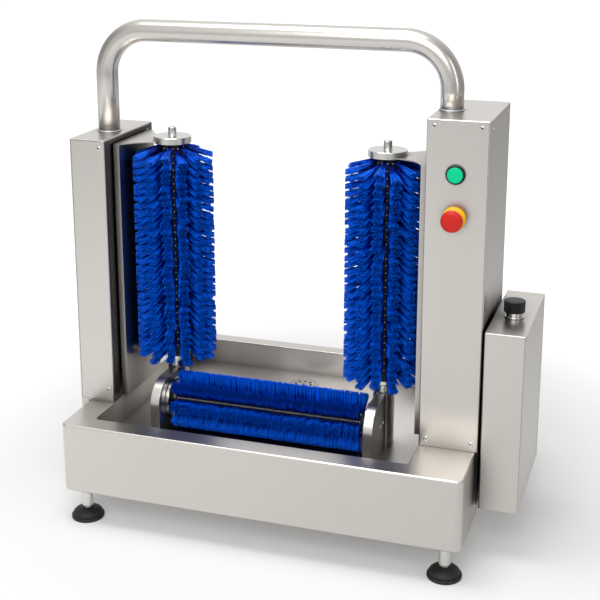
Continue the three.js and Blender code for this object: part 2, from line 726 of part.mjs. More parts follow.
// Stand: an arched plate on the basin floor, welded to the upright tube that carries a brush shaft.
// side points from the sole brush to the outside.
function makeStand(name, axisX, side, geared) {
  const tubeRadius = shaftGearRadius + runningGap + tubeWall;
  const foot = basinFloor + seatGap;
  const low = axisX - standThickness / 2;
  const high = axisX + standThickness / 2;
  const shoulder = Math.min(standShoulderRadius, standHalfWidth, standRise + soleRadius);
  const arch = new THREE.Shape();
  arch.moveTo(soleSetback - standHalfWidth, foot);
  arch.lineTo(soleSetback + standHalfWidth, foot);
  arch.lineTo(soleSetback + standHalfWidth, standTop - shoulder);
  arch.absarc(soleSetback + standHalfWidth - shoulder, standTop - shoulder, shoulder, 0, Math.PI / 2);
  arch.lineTo(soleSetback - standHalfWidth + shoulder, standTop);
  arch.absarc(soleSetback - standHalfWidth + shoulder, standTop - shoulder, shoulder, Math.PI / 2, Math.PI);
  const plate = extrudeX(arch, low, high, archSides);
  const tube = cylinderZ(axisX, brushAxisY, shaftBottomStop, standTop + seatGap, tubeRadius);
  const bore = cylinderZ(axisX, brushAxisY, shaftBottomStop - cutOverrun, standTop + cutOverrun,
    shaftRadius + runningGap, smallSides);
  const cavity = cylinderZ(axisX, brushAxisY, shaftBottomStop + tubeBushLength, standTop - tubeBushLength,
    tubeRadius - tubeWall, smallSides);
  const innerFace = side > 0 ? low : high;
  const gearReach = innerFace + side * (standThickness - standWall);
  const gearSpace = cylinderX(Math.min(innerFace - side * cutOverrun, gearReach),
    Math.max(innerFace - side * cutOverrun, gearReach), soleSetback, soleAxleZ, geared
      ? soleGearRadius + screwGearGap + runningGap : soleAxleRadius + runningGap, smallSides);
  const outerFace = side > 0 ? high : low;
  const boltEnd = outerFace + side * axleBoltHeight;
  const bolt = cylinderX(Math.min(outerFace - side * standWall / 2, boltEnd),
    Math.max(outerFace - side * standWall / 2, boltEnd), soleSetback, soleAxleZ, axleBoltRadius,
    hexSides);
  addPart(name, joined(plate, tube, bolt).subtract(bore).subtract(cavity).subtract(gearSpace), steel);
}

// One strand: a three-sided tuft along +Z that widens from a point in the core to its tip
function strandGeometry(start, end, tipRadius) {
  const points = [new THREE.Vector3(0, 0, start)];
  for (let i = 0; i < strandSides; i += 1) {
    const angle = (i / strandSides) * 2 * Math.PI;
    points.push(new THREE.Vector3(tipRadius * Math.cos(angle), tipRadius * Math.sin(angle), end));
  }
  return new ConvexGeometry(points);
}

// Columns of strands round a core on the Z axis, every second column half a pitch higher.
// The core's sides are turned so that each column stands on the middle of one.
function bristleBody(length, coreRadius, boreRadius, radius, columns, perColumn, tipRadius, sink) {
  const sides = 2 * columns;
  let brush = cylinderZ(0, 0, 0, length, coreRadius, sides, Math.PI / sides)
    .subtract(cylinderZ(0, 0, -cutOverrun, length + cutOverrun, boreRadius, smallSides));
  const start = coreRadius * Math.cos(Math.PI / sides) - sink;
  const end = Math.sqrt(radius ** 2 - tipRadius ** 2);
  const pitch = (length - 2 * tipRadius) / (perColumn - 0.5);
  for (let column = 0; column < columns; column += 1) {
    for (let i = 0; i < perColumn; i += 1) {
      const strand = strandGeometry(start, end, tipRadius);
      strand.rotateY(Math.PI / 2);
      strand.rotateZ((column / columns) * 2 * Math.PI);
      strand.translate(0, 0, tipRadius + (i + (column % 2) / 2) * pitch);
      brush = brush.add(solid(strand));
    }
  }
  return brush;
}

function makeSideBristles(name, axisX) {
  const brush = bristleBody(brushTop - brushBottom, brushCoreRadius, shaftRadius + seatGap, brushRadius,
    strandColumns, strandsInColumn, strandTipRadius, strandSink);
  addPart(name, brush.translate([axisX, brushAxisY, brushBottom]), bristleBlue);
}

function makeSoleBristles(left, right) {
  const brush = bristleBody(right - left, soleCoreRadius, soleAxleRadius + seatGap, soleRadius, soleRows,
    strandsInRow, soleStrandTipRadius, soleStrandSink);
  addPart('sole_brush_bristles', brush.rotate([0, 90, 0]).translate([left, soleSetback, soleAxleZ]),
    bristleBlue);
}

// A toothed belt pulley between two rims, with a bore for its shaft
function toothedPulley(x, y, z0, z1, teeth, boreRadius) {
  const pitchRadius = (teeth * toothPitch) / (2 * Math.PI);
  const outline = new THREE.Shape();
  for (let i = 0; i < teeth; i += 1) {
    for (const [share, depthShare] of toothShares) {
      const angle = ((i + share) / teeth) * 2 * Math.PI;
      const radius = pitchRadius - depthShare * toothHeight;
      const place = [x + radius * Math.cos(angle), y + radius * Math.sin(angle)];
      if (i === 0 && share === 0) {
        outline.moveTo(...place);
      } else {
        outline.lineTo(...place);
      }
    }
  }
  const rimRadius = pitchRadius + beltThickness;
  const wheel = joined(extrudeZ(outline, z0, z1),
    cylinderZ(x, y, z0 - pulleyRim, z0, rimRadius),
    cylinderZ(x, y, z1, z1 + pulleyRim, rimRadius));
  return wheel.subtract(cylinderZ(x, y, z0 - pulleyRim - cutOverrun, z1 + pulleyRim + cutOverrun, boreRadius,
    smallSides));
}

// A flat belt round two pulleys whose centres lie on a line along X
function beltLoop(x0, r0, x1, r1, y, z0, z1) {
  const lean = Math.asin((r0 - r1) / (x1 - x0));
  const outline = (grow) => {
    const path = new THREE.Shape();
    path.absarc(x0, y, r0 + grow, Math.PI / 2 - lean, 1.5 * Math.PI + lean);
    path.absarc(x1, y, r1 + grow, -Math.PI / 2 + lean, Math.PI / 2 - lean);
    return path;
  };
  const inside = runningGap;
  return cut(extrudeZ(outline(inside + beltThickness), z0, z1, beltSides),
    extrudeZ(outline(inside), z0 - cutOverrun, z1 + cutOverrun, beltSides));
}

const pulleyTop = shaftBottomStop - beltHeadroom - pulleyRim;
const upperBelt = [pulleyTop - beltWidth, pulleyTop];
const lowerBelt = [pulleyTop - 2 * beltWidth - beltSpacing, pulleyTop - beltWidth - beltSpacing];
const pulleyRadius = (pulleyTeeth * toothPitch) / (2 * Math.PI);
const motorPulleyRadius = (motorPulleyTeeth * toothPitch) / (2 * Math.PI);

// Everything that turns with one side brush, from the pulley below the basin to the pin on top
function makeSideBrush(side, axisX) {
  const shaft = cylinderZ(axisX, brushAxisY, lowerBelt[0] - pulleyRim, bearingTop + pinRise, shaftRadius,
    smallSides);
  addPart(`${side}_brush_shaft`, shaft, brightSteel);
  makeSideBristles(`${side}_brush_bristles`, axisX);
  const bore = shaftRadius + seatGap;
  const hubTop = hubBottom + brushHubHeight;
  addPart(`${side}_brush_hub`, turned([[bore, hubBottom], [brushHubRadius, hubBottom],
    [brushHubRadius, hubTop],
    [brushHubNeckRadius, hubTop], [brushHubNeckRadius, brushBottom - seatGap], [bore, brushBottom - seatGap],
    [bore, hubBottom]],
  axisX, brushAxisY), brightSteel);
}

function makeBeltDrive() {
  const bore = shaftRadius + seatGap;
  addPart('left_brush_pulley', toothedPulley(leftAxisX, brushAxisY, ...lowerBelt, pulleyTeeth, bore),
    castAluminium);
  const upper = toothedPulley(rightAxisX, brushAxisY, ...upperBelt, pulleyTeeth, bore);
  const lower = toothedPulley(rightAxisX, brushAxisY, ...lowerBelt, pulleyTeeth, bore);
  const sleeveRadius = pulleyRadius + beltThickness;
  const sleeve = cut(cylinderZ(rightAxisX, brushAxisY, lowerBelt[1], upperBelt[0], sleeveRadius),
    cylinderZ(rightAxisX, brushAxisY, lowerBelt[0], upperBelt[1], bore, smallSides));
  addPart('right_brush_pulley', joined(upper, lower, sleeve), castAluminium);
  addPart('motor_pulley', toothedPulley(motorX, brushAxisY, ...upperBelt, motorPulleyTeeth,
    motorShaftRadius + seatGap), castAluminium);
  addPart('motor_belt', beltLoop(rightAxisX, pulleyRadius, motorX, motorPulleyRadius, brushAxisY,
    upperBelt[0] + seatGap, upperBelt[1] - seatGap), blackRubber);
  addPart('brush_belt', beltLoop(leftAxisX, pulleyRadius, rightAxisX, pulleyRadius, brushAxisY,
    lowerBelt[0] + seatGap, lowerBelt[1] - seatGap), blackRubber);
}

// Sole brush: axle through both stands, core with bristles, and a screw gear. A polished bearing
// flange is bolted to the inner face of each stand, cut back where the stand's tube passes it.
function makeSoleBrush() {
  const innerLeft = leftAxisX + standThickness / 2;
  const innerRight = rightAxisX - standThickness / 2;
  const axleLeft = innerLeft - standThickness + standWall + seatGap;
  const axleRight = innerRight + standThickness - standWall - seatGap;
  const axle = cylinderX(axleLeft, axleRight, soleSetback, soleAxleZ, soleAxleRadius, smallSides);
  addPart('sole_brush_axle', axle, brightSteel);
  const tubeRadius = shaftGearRadius + runningGap + tubeWall;
  const flange = (x0, x1, axisX) => cut(cylinderX(x0, x1, soleSetback, soleAxleZ, flangeRadius),
    cylinderX(x0 - cutOverrun, x1 + cutOverrun, soleSetback, soleAxleZ, soleAxleRadius + runningGap,
      smallSides),
    cylinderZ(axisX, brushAxisY, basinFloor, standTop + cutOverrun, tubeRadius + seatGap));
  addPart('left_axle_flange', flange(innerLeft + seatGap, innerLeft + seatGap + flangeThickness, leftAxisX),
    brightSteel);
  addPart('right_axle_flange',
    flange(innerRight - seatGap - flangeThickness, innerRight - seatGap, rightAxisX), brightSteel);
  const bristleInset = tubeRadius + seatGap + runningGap;
  makeSoleBristles(leftAxisX + bristleInset, rightAxisX - bristleInset);
  const gearStart = innerRight + seatGap;
  const axleGear = cut(cylinderX(gearStart, axleRight, soleSetback, soleAxleZ, soleGearRadius),
    cylinderX(gearStart - cutOverrun, axleRight + cutOverrun, soleSetback, soleAxleZ,
      soleAxleRadius + seatGap, smallSides));
  addPart('sole_screw_gear', axleGear, brightSteel);
  const shaftGear = cut(
    cylinderZ(rightAxisX, brushAxisY, soleAxleZ - screwGearLength / 2, soleAxleZ + screwGearLength / 2,
      shaftGearRadius),
    cylinderZ(rightAxisX, brushAxisY, soleAxleZ - screwGearLength, soleAxleZ + screwGearLength,
      shaftRadius + seatGap, smallSides));
  addPart('right_screw_gear', shaftGear, brightSteel);
}

// Geared motor on the bottom of the right column, its shaft reaching down into the base
function makeMotor() {
  const gearboxBottom = rimTop + seatGap + columnSheet + seatGap;
  const gearboxTop = gearboxBottom + gearboxHeight;
  const half = gearboxWidth / 2;
  const boreRadius = motorShaftRadius + runningGap;
  const shaftTop = gearboxBottom + gearboxHeight / 2;
  const gearbox = foldedBox(motorX - half, motorX + half, brushAxisY - half, brushAxisY + half, gearboxBottom,
    gearboxTop, columnFoldRadius * 2);
  addPart('gearbox', gearbox.subtract(cylinderZ(motorX, brushAxisY, gearboxBottom - cutOverrun,
    shaftTop + runningGap, boreRadius, smallSides)), castAluminium);
  addPart('motor_output_shaft', cylinderZ(motorX, brushAxisY, upperBelt[0] - pulleyRim, shaftTop,
    motorShaftRadius, smallSides), brightSteel);
  const motorBottom = gearboxTop + seatGap;
  const motorTop = motorBottom + motorLength;
  let motor = cylinderZ(motorX, brushAxisY, motorBottom, motorTop, motorRadius - motorRibHeight);
  const rib = box(-motorRadius, motorRadius, -motorRibHeight / 2, motorRibHeight / 2,
    motorBottom + motorRibStart, motorBottom + motorRibEnd);
  for (let i = 0; i < motorRibs; i += 1) {
    motor = motor.add(rib.rotate([0, 0, (i * 180) / motorRibs]).translate([motorX, brushAxisY, 0]));
  }
  addPart('motor', motor, castAluminium);

  const relayBack = columnBack - columnSheet - seatGap;
  addPart('relay_box', foldedBox(motorX - relayBoxWidth / 2, motorX + relayBoxWidth / 2,
    relayBack - relayBoxDepth, relayBack, rimTop + relayBoxLift, rimTop + relayBoxLift + relayBoxHeight,
    columnFoldRadius), greyPlastic);
  const glandZ = rimTop + seatGap + glandLift;
  const glandBack = columnBack + seatGap;
  addPart('mains_gland', cut(joined(
    cylinderY(columnBack - columnSheet - cutOverrun, glandBack + glandLength, motorX, glandZ, glandRadius,
      smallSides),
    cylinderY(glandBack, glandBack + glandNutLength, motorX, glandZ, glandNutRadius, hexSides)),
  cylinderY(columnBack - columnSheet - 2 * cutOverrun, glandBack + glandLength + cutOverrun, motorX, glandZ,
    glandBore, smallSides)), blackPlastic);
}

// Push buttons on the front cover, drawn by distance in front of the panel
function makeButtons() {
  const panel = columnSetback - seatGap;
  const neck = panelHoleRadius - seatGap;
  const behind = -(columnSheet + 2 * seatGap);
  const capBore = startCapRadius + runningGap;
  const stemRadius = neck / 2;
  const stemBore = stemRadius + runningGap;
  const blockFront = columnSetback + columnSheet + seatGap;

  const shelf = bezelShelf;
  addPart('start_button_bezel', turnedToFront([[stemBore, behind], [neck, behind], [neck, 0],
    [bezelRadius, 0],
    [bezelRadius, bezelBand], [bezelRadius - shelf, bezelDepth], [capBore, bezelDepth],
    [capBore, shelf], [stemBore, shelf], [stemBore, behind]], buttonX, startZ, panel), blackPlastic);
  const capBack = shelf + seatGap + startTravel;
  const capFront = bezelDepth + startCapProud;
  addPart('start_button_cap', turnedToFront([[0, behind - seatGap], [stemRadius, behind - seatGap],
    [stemRadius, capBack], [startCapRadius, capBack], [startCapRadius, capFront - startCapEdge],
    [startCapRadius - startCapEdge, capFront], [0, capFront]], buttonX, startZ, panel), greenPlastic);

  const plungerBore = stopHeadStemRadius + runningGap;
  addPart('stop_collar', turnedToFront([[plungerBore, behind], [neck, behind], [neck, 0],
    [stopCollarRadius, 0],
    [stopCollarRadius, stopCollarBand], [neck, stopCollarDepth], [plungerBore, stopCollarDepth],
    [plungerBore, behind]], buttonX, stopZ, panel), yellowPlastic);
  const headBack = stopCollarDepth + stopTravel + seatGap;
  const headFront = headBack + stopHeadDepth;
  const socketDepth = stopHeadDepth / 2;
  addPart('stop_plunger', turnedToFront([[0, behind - seatGap], [stopHeadStemRadius, behind - seatGap],
    [stopHeadStemRadius, headBack + socketDepth - seatGap], [0, headBack + socketDepth - seatGap]],
  buttonX, stopZ, panel, smallSides), blackPlastic);
  addPart('stop_head', turnedToFront([
    [stopHeadStemRadius + runningGap, headBack], [stopHeadBackRadius, headBack],
    [stopHeadRadius, headBack + stopHeadBandStart], [stopHeadRadius, headBack + stopHeadBandEnd],
    [stopHeadCrownRadius, headFront], [0, headFront], [0, headBack + socketDepth],
    [stopHeadStemRadius + runningGap, headBack + socketDepth], [stopHeadStemRadius + runningGap, headBack]],
  buttonX, stopZ, panel), redPlastic);

  const half = contactBlockWidth / 2;
  for (const [name, z, room, radius] of [['start_contact_block', startZ, startTravel, stemRadius],
    ['stop_contact_block', stopZ, stopTravel, stopHeadStemRadius]]) {
    const block = box(buttonX - half, buttonX + half, blockFront + seatGap, blockFront + contactBlockDepth,
      z - half, z + half);
    addPart(name, block.subtract(cylinderY(blockFront - cutOverrun, blockFront + seatGap + room + cutOverrun,
      buttonX, z, radius + runningGap, smallSides)), blackPlastic);
  }
}

// Tank: sheet case with a screwed side cover, a filler neck, a screw cap, and the canister inside
function makeTank() {
  const front = tankSetback;
  const back = tankSetback + tankDepth;
  const outer = foldedBox(tankLeft, tankRight, front, back, tankBottom, tankTop, columnFoldRadius);
  const inner = box(tankLeft + tankSheet, tankRight - tankSheet, front + tankSheet, back - tankSheet,
    tankBottom + tankSheet, tankTop - tankSheet);
  const coverBand = box(tankRight - tankSheet - seatGap, tankRight + cutOverrun, front - cutOverrun,
    back + cutOverrun, tankBottom - cutOverrun, tankTop - tankSheet);
  const neckHole = cylinderZ(neckX, neckSetback, tankTop - tankSheet - cutOverrun, tankTop + cutOverrun,
    neckRadius + seatGap);
  const pads = [columnSetback + tankPadInset, columnBack - tankPadInset - tankPadWidth].map((y) => box(
    rightColumnRight + seatGap, tankLeft + tankSheet / 2, y, y + tankPadWidth,
    tankBottom + tankPadInset, tankTop - tankPadInset));
  addPart('tank_body', joined(cut(outer, inner, coverBand, neckHole), ...pads), steel);
  const coverRound = foldedBox(tankLeft, tankRight, front, back, tankBottom, tankTop - tankSheet - seatGap,
    columnFoldRadius);
  addPart('tank_side_cover', coverRound.intersect(box(tankRight - tankSheet, tankRight + cutOverrun,
    front - cutOverrun, back + cutOverrun, tankBottom - cutOverrun, tankTop + cutOverrun)), steel);

  const capBottom = tankTop + neckExposed;
  const sealBottom = capBottom + capHeight - capWall - sealThickness - seatGap;
  const neckTop = sealBottom - seatGap;
  const neckInner = neckRadius - neckWall;
  const neckBottom = tankTop - neckHeight;
  addPart('filler_neck', turned([
    [neckInner, neckBottom], [neckRadius, neckBottom], [neckRadius, tankTop + seatGap],
    [neckRadius + neckWall, tankTop + seatGap], [neckRadius + neckWall, tankTop + seatGap + neckWall],
    [neckRadius, tankTop + seatGap + neckWall], [neckRadius, neckTop], [neckInner, neckTop],
    [neckInner, neckBottom]], neckX, neckSetback), brightSteel);
  addPart('tank_cap_seal', cylinderZ(neckX, neckSetback, sealBottom, sealBottom + sealThickness, neckRadius,
    smallSides), blackRubber);
  const capTop = capBottom + capHeight;
  const ribbed = new THREE.Shape();
  const ribPoints = 2 * capRibs;
  for (let i = 0; i < ribPoints; i += 1) {
    const angle = (i / ribPoints) * 2 * Math.PI;
    const radius = capRadius - (i % 2) * capRibHeight;
    const place = [neckX + radius * Math.cos(angle), neckSetback + radius * Math.sin(angle)];
    if (i === 0) {
      ribbed.moveTo(...place);
    } else {
      ribbed.lineTo(...place);
    }
  }
  addPart('tank_cap', extrudeZ(ribbed, capBottom, capTop).subtract(cylinderZ(neckX, neckSetback,
    capBottom - cutOverrun, capTop - capWall, neckRadius + runningGap)), blackPlastic);

  const canLeft = tankLeft + tankSheet + canisterGap;
  const canRight = tankRight - tankSheet - canisterGap;
  const canFront = front + tankSheet + canisterGap;
  const pumpBack = back - tankSheet - seatGap;
  const canBack = pumpBack - pumpLength - pumpHoseRoom;
  const tankFloor = tankBottom + tankSheet;
  const canTop = neckBottom - seatGap;
  const canBottom = tankFloor + seatGap;
  const canBody = foldedBox(canLeft, canRight, canFront, canBack, canBottom, canTop, columnFoldRadius);
  const canSpace = box(canLeft + canisterWall, canRight - canisterWall, canFront + canisterWall,
    canBack - canisterWall, canBottom + canisterWall, canTop - canisterWall);
  const mouth = cylinderZ(neckX, neckSetback, canTop - canisterWall - cutOverrun, canTop + cutOverrun,
    neckInner,
    smallSides);
  addPart('detergent_canister', cut(canBody, canSpace, mouth), greyPlastic);
  addPart('dosing_pump', cylinderY(pumpBack - pumpLength, pumpBack, neckX, tankFloor + seatGap + pumpRadius,
    pumpRadius), blackPlastic);
}

makeBase();
makeBasin();
makeBottomCover();
makeStrainer();
makeFeet();
makeLeftColumn();
makeRightColumn();
makeHandle();
makeChannel('left_brush_channel', openingLeft, leftAxisX, 1);
makeChannel('right_brush_channel', openingRight, rightAxisX, -1);
makeTopBearing('left_top_bearing', leftAxisX);
makeTopBearing('right_top_bearing', rightAxisX);
makeStand('left_brush_stand', leftAxisX, -1, false);
makeStand('right_brush_stand', rightAxisX, 1, true);
makeSideBrush('left', leftAxisX);
makeSideBrush('right', rightAxisX);
makeBeltDrive();
makeSoleBrush();
makeMotor();
makeButtons();
makeTank();

// The origin is on the floor under the middle of the whole machine
machine.position.set((leftColumnOverhang - tankRight) / 2, -baseDepth / 2, 0);

export default machine;
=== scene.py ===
# Boot washer: the finish of every surface, the dense bristles, screws and round pieces,
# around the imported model. Sizes in millimetres are turned to metres by MM.
import math
import random

import bmesh
import bpy
from mathutils import Matrix, Vector
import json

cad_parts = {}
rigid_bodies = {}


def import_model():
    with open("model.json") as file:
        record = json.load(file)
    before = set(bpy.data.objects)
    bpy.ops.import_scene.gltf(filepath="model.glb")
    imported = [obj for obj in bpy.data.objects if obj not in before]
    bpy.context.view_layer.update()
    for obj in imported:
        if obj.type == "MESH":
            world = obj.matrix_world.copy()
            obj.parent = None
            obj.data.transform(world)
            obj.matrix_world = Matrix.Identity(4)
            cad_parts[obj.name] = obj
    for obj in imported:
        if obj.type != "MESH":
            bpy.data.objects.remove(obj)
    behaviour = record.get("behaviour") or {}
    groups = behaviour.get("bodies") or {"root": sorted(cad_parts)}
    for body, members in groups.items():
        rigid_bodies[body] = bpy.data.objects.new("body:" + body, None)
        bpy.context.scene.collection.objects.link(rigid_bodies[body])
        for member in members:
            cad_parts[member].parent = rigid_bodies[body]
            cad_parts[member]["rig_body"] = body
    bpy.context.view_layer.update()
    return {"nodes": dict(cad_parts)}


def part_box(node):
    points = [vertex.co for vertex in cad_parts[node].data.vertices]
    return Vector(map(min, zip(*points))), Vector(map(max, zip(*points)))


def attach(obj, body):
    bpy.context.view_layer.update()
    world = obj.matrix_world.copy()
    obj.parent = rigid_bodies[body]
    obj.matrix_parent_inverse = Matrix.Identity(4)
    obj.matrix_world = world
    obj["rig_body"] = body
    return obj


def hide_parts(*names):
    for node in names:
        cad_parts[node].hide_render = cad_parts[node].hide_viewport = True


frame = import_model()
nodes = frame["nodes"]
scene = bpy.context.scene
scene.view_settings.view_transform = "Standard"

MM = 0.001
ROUND_STEPS = 64
SMOOTH_ANGLE = math.radians(38)
FOLD_ANGLE = math.radians(60)
BEND_ANGLE = math.radians(20)

# Camera: where it stands in metres, how it is turned, and its lens in millimetres
CAMERA_PLACE = (0.6233, -1.9786, 1.0701)
CAMERA_AZIMUTH = math.radians(18.15)
CAMERA_ELEVATION = math.radians(14.508)
CAMERA_LENS = 73.71
CAMERA_SENSOR = 36
CAMERA_SHIFT = -0.15

# Lamps: name, place, target, width and height in metres, power in watts
LAMPS = [
    ("key_lamp", (0.4, -2.9, 2.3), (0, 0, 0.35), 2.4, 1.8, 52),
    ("top_lamp", (-0.3, -0.5, 2.9), (0, 0, 0.2), 1.6, 1.2, 38),
    ("side_strip", (2.4, -1.2, 1.3), (0.1, 0, 0.4), 0.4, 1.8, 7),
]
ROOM_LIGHT = 0.55
FLOOR_GREY = 0.72
FLOOR_SIZE = 30

# Sheets, tubes, threads, screws, stands and the tank cap, in millimetres
SHEET = 2
BASE_WALL = 1.8
BASE_FOLD = 3.6
BASE_CORNER = 12
BASE_FLANGE = 46
BASIN_HEM = 10
BASIN_FOLD = 1.8
OPENING_CORNER = 8
OPENING_BEND = 1.6
FOLD_STEPS = 4
COVER_EDGE = 1.0
COVER_SEAM = 0.6
COVER_CREST = 1.8
SEAM = 0.3
THREAD_START = 22.6
THREAD_PITCH = 1.5
HANDLE_BEND = 77
HANDLE_WALL = 2
HANDLE_WELD = 2.5
SCREW_HEAD = 0.95
STAND_HALF = 8.5
STAND_CROWN = 42
CAP_RADIUS = 17.5
CAP_FLUTES = 32
FLUTE_DEPTH = 1.1

# How far off other pieces darken a steel sheet or a bristle with painted shade, in millimetres
SHADE_REACH = 90
BRISTLE_SHADE = 9

# Brushes: columns and tufts round and along the core, and lengths in millimetres. Reach and core are radii,
# root and across are half a tuft's width at its foot and its tip, along is half its height at the tip, and
# droop is how much lower the tip is. Shade is where the painted shade between strands starts and ends.
SIDE_BRUSH = {"columns": 14, "tufts": 30, "reach": 70.7, "core": 19, "root": 2.4, "across": 9.0, "along": 4.6,
              "droop": 16, "filaments": 100, "shade": (0.08, 0.6), "patches": 0.6}
SOLE_BRUSH = {"columns": 8, "tufts": 66, "reach": 52, "core": 17, "root": 5.2, "across": 10, "along": 1.9,
              "droop": 0, "filaments": 66, "shade": (0.02, 0.34), "patches": 0.25}
SOLE_TURN = math.radians(43.9)
# The photograph looks into a parting of each side brush, so a parting faces its camera
PARTINGS = {"left": math.radians(-90 + 24.2), "right": math.radians(-90 + 13.9)}
END_FLARE = 7
FILAMENT = 0.46
TUFT_KINDS = 8


def mid(node):
    """The middle of a CAD node's box."""
    low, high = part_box(node)
    return (low + high) / 2


def add_camera():
    """At the photograph's viewpoint."""
    right = Vector((math.cos(CAMERA_AZIMUTH), math.sin(CAMERA_AZIMUTH), 0))
    forward = Vector((-math.sin(CAMERA_AZIMUTH) * math.cos(CAMERA_ELEVATION),
                      math.cos(CAMERA_AZIMUTH) * math.cos(CAMERA_ELEVATION), -math.sin(CAMERA_ELEVATION)))
    up = right.cross(forward)
    data = bpy.data.cameras.new("camera")
    data.lens = CAMERA_LENS
    data.sensor_width = CAMERA_SENSOR
    data.shift_y = CAMERA_SHIFT
    data.clip_end = 100
    camera = bpy.data.objects.new("camera", data)
    scene.collection.objects.link(camera)
    turn = Matrix((right, up, -forward)).transposed().to_4x4()
    camera.matrix_world = Matrix.Translation(CAMERA_PLACE) @ turn
    scene.camera = camera


def add_lights():
    """A large soft lamp from the front, a wide one overhead and a strip on the right."""
    for name, place, target, width, height, power in LAMPS:
        data = bpy.data.lights.new(name, "AREA")
        data.shape = "RECTANGLE"
        data.size = width
        data.size_y = height
        data.energy = power
        lamp = bpy.data.objects.new(name, data)
        scene.collection.objects.link(lamp)
        away = Vector(place) - Vector(target)
        lamp.matrix_world = Matrix.Translation(place) @ away.to_track_quat("Z", "Y").to_matrix().to_4x4()


# Nodes that every material, the world and the floor are made of
def feed(tree, socket, value):
    """Links a socket to another socket, or gives it a plain number."""
    if isinstance(value, bpy.types.NodeSocket):
        tree.links.new(value, socket)
    else:
        socket.default_value = value


def add_math(tree, operation, *values):
    """The result of a Math node."""
    node = tree.nodes.new("ShaderNodeMath")
    node.operation = operation
    for socket, value in zip(node.inputs, values):
        feed(tree, socket, value)
    return node.outputs[0]


def add_scaled(tree, color, factor):
    """A colour made darker or lighter by a factor."""
    node = tree.nodes.new("ShaderNodeVectorMath")
    node.operation = "SCALE"
    tree.links.new(color, node.inputs[0])
    feed(tree, node.inputs["Scale"], factor)
    return node.outputs[0]


def add_noise(tree, vector, scale, detail, roughness=0.5):
    """Soft noise between 0 and 1."""
    node = tree.nodes.new("ShaderNodeTexNoise")
    tree.links.new(vector, node.inputs["Vector"])
    feed(tree, node.inputs["Scale"], scale)
    node.inputs["Detail"].default_value = detail
    node.inputs["Roughness"].default_value = roughness
    return node.outputs["Fac"]


def add_openness(tree, reach):
    """How open a place is: near 0 where surfaces within the reach, in mm, close it in, 1 in the open. It
    drives painted shade.
    """
    node = tree.nodes.new("ShaderNodeAmbientOcclusion")
    node.samples = 8
    node.inputs["Distance"].default_value = reach * MM
    return node.outputs["AO"]


def add_bump(tree, height, distance, strength):
    """The normal of a fine relief, its depth in mm."""
    node = tree.nodes.new("ShaderNodeBump")
    node.inputs["Distance"].default_value = distance * MM
    tree.links.new(strength, node.inputs["Strength"])
    tree.links.new(height, node.inputs["Height"])
    return node.outputs["Normal"]


def add_ramp(tree, source, low, high, at_low, at_high):
    """A value that goes from at_low to at_high while the source goes from low to high."""
    node = tree.nodes.new("ShaderNodeMapRange")
    node.interpolation_type = "SMOOTHSTEP"
    for socket, value in (("From Min", low), ("From Max", high), ("To Min", at_low), ("To Max", at_high)):
        node.inputs[socket].default_value = value
    tree.links.new(source, node.inputs["Value"])
    return node.outputs["Result"]


def add_world():
    """A white room for what the camera sees. In the metal its walls fall off to grey on both sides."""
    world = bpy.data.worlds.new("white_room")
    scene.world = world
    world.use_nodes = True
    tree = world.node_tree
    tree.nodes.clear()
    place = tree.nodes.new("ShaderNodeTexCoord")
    axes = tree.nodes.new("ShaderNodeSeparateXYZ")
    tree.links.new(place.outputs["Generated"], axes.inputs[0])
    right = add_ramp(tree, axes.outputs["X"], 0.1, 0.95, 1.0, 0.42)
    left = add_ramp(tree, axes.outputs["X"], -0.97, -0.55, 0.4, 1.0)
    behind = add_ramp(tree, axes.outputs["Y"], -0.6, 0.3, 0.82, 1.0)
    room = add_math(tree, "MULTIPLY", add_math(tree, "MULTIPLY", right, left), behind)
    rays = tree.nodes.new("ShaderNodeLightPath")
    seen = add_math(tree, "MAXIMUM", rays.outputs["Is Camera Ray"], rays.outputs["Is Transmission Ray"])
    shown = add_math(tree, "MAXIMUM", seen, rays.outputs["Is Glossy Ray"])
    wall = tree.nodes.new("ShaderNodeMix")
    wall.data_type = "RGBA"
    wall.inputs["B"].default_value = (1, 1, 1, 1)
    tree.links.new(seen, wall.inputs["Factor"])
    tree.links.new(room, wall.inputs["A"])
    strength = tree.nodes.new("ShaderNodeMix")
    strength.data_type = "FLOAT"
    strength.inputs["A"].default_value = ROOM_LIGHT
    strength.inputs["B"].default_value = 1.0
    tree.links.new(shown, strength.inputs["Factor"])
    back = tree.nodes.new("ShaderNodeBackground")
    tree.links.new(wall.outputs["Result"], back.inputs["Color"])
    tree.links.new(strength.outputs["Result"], back.inputs["Strength"])
    out = tree.nodes.new("ShaderNodeOutputWorld")
    tree.links.new(back.outputs[0], out.inputs["Surface"])


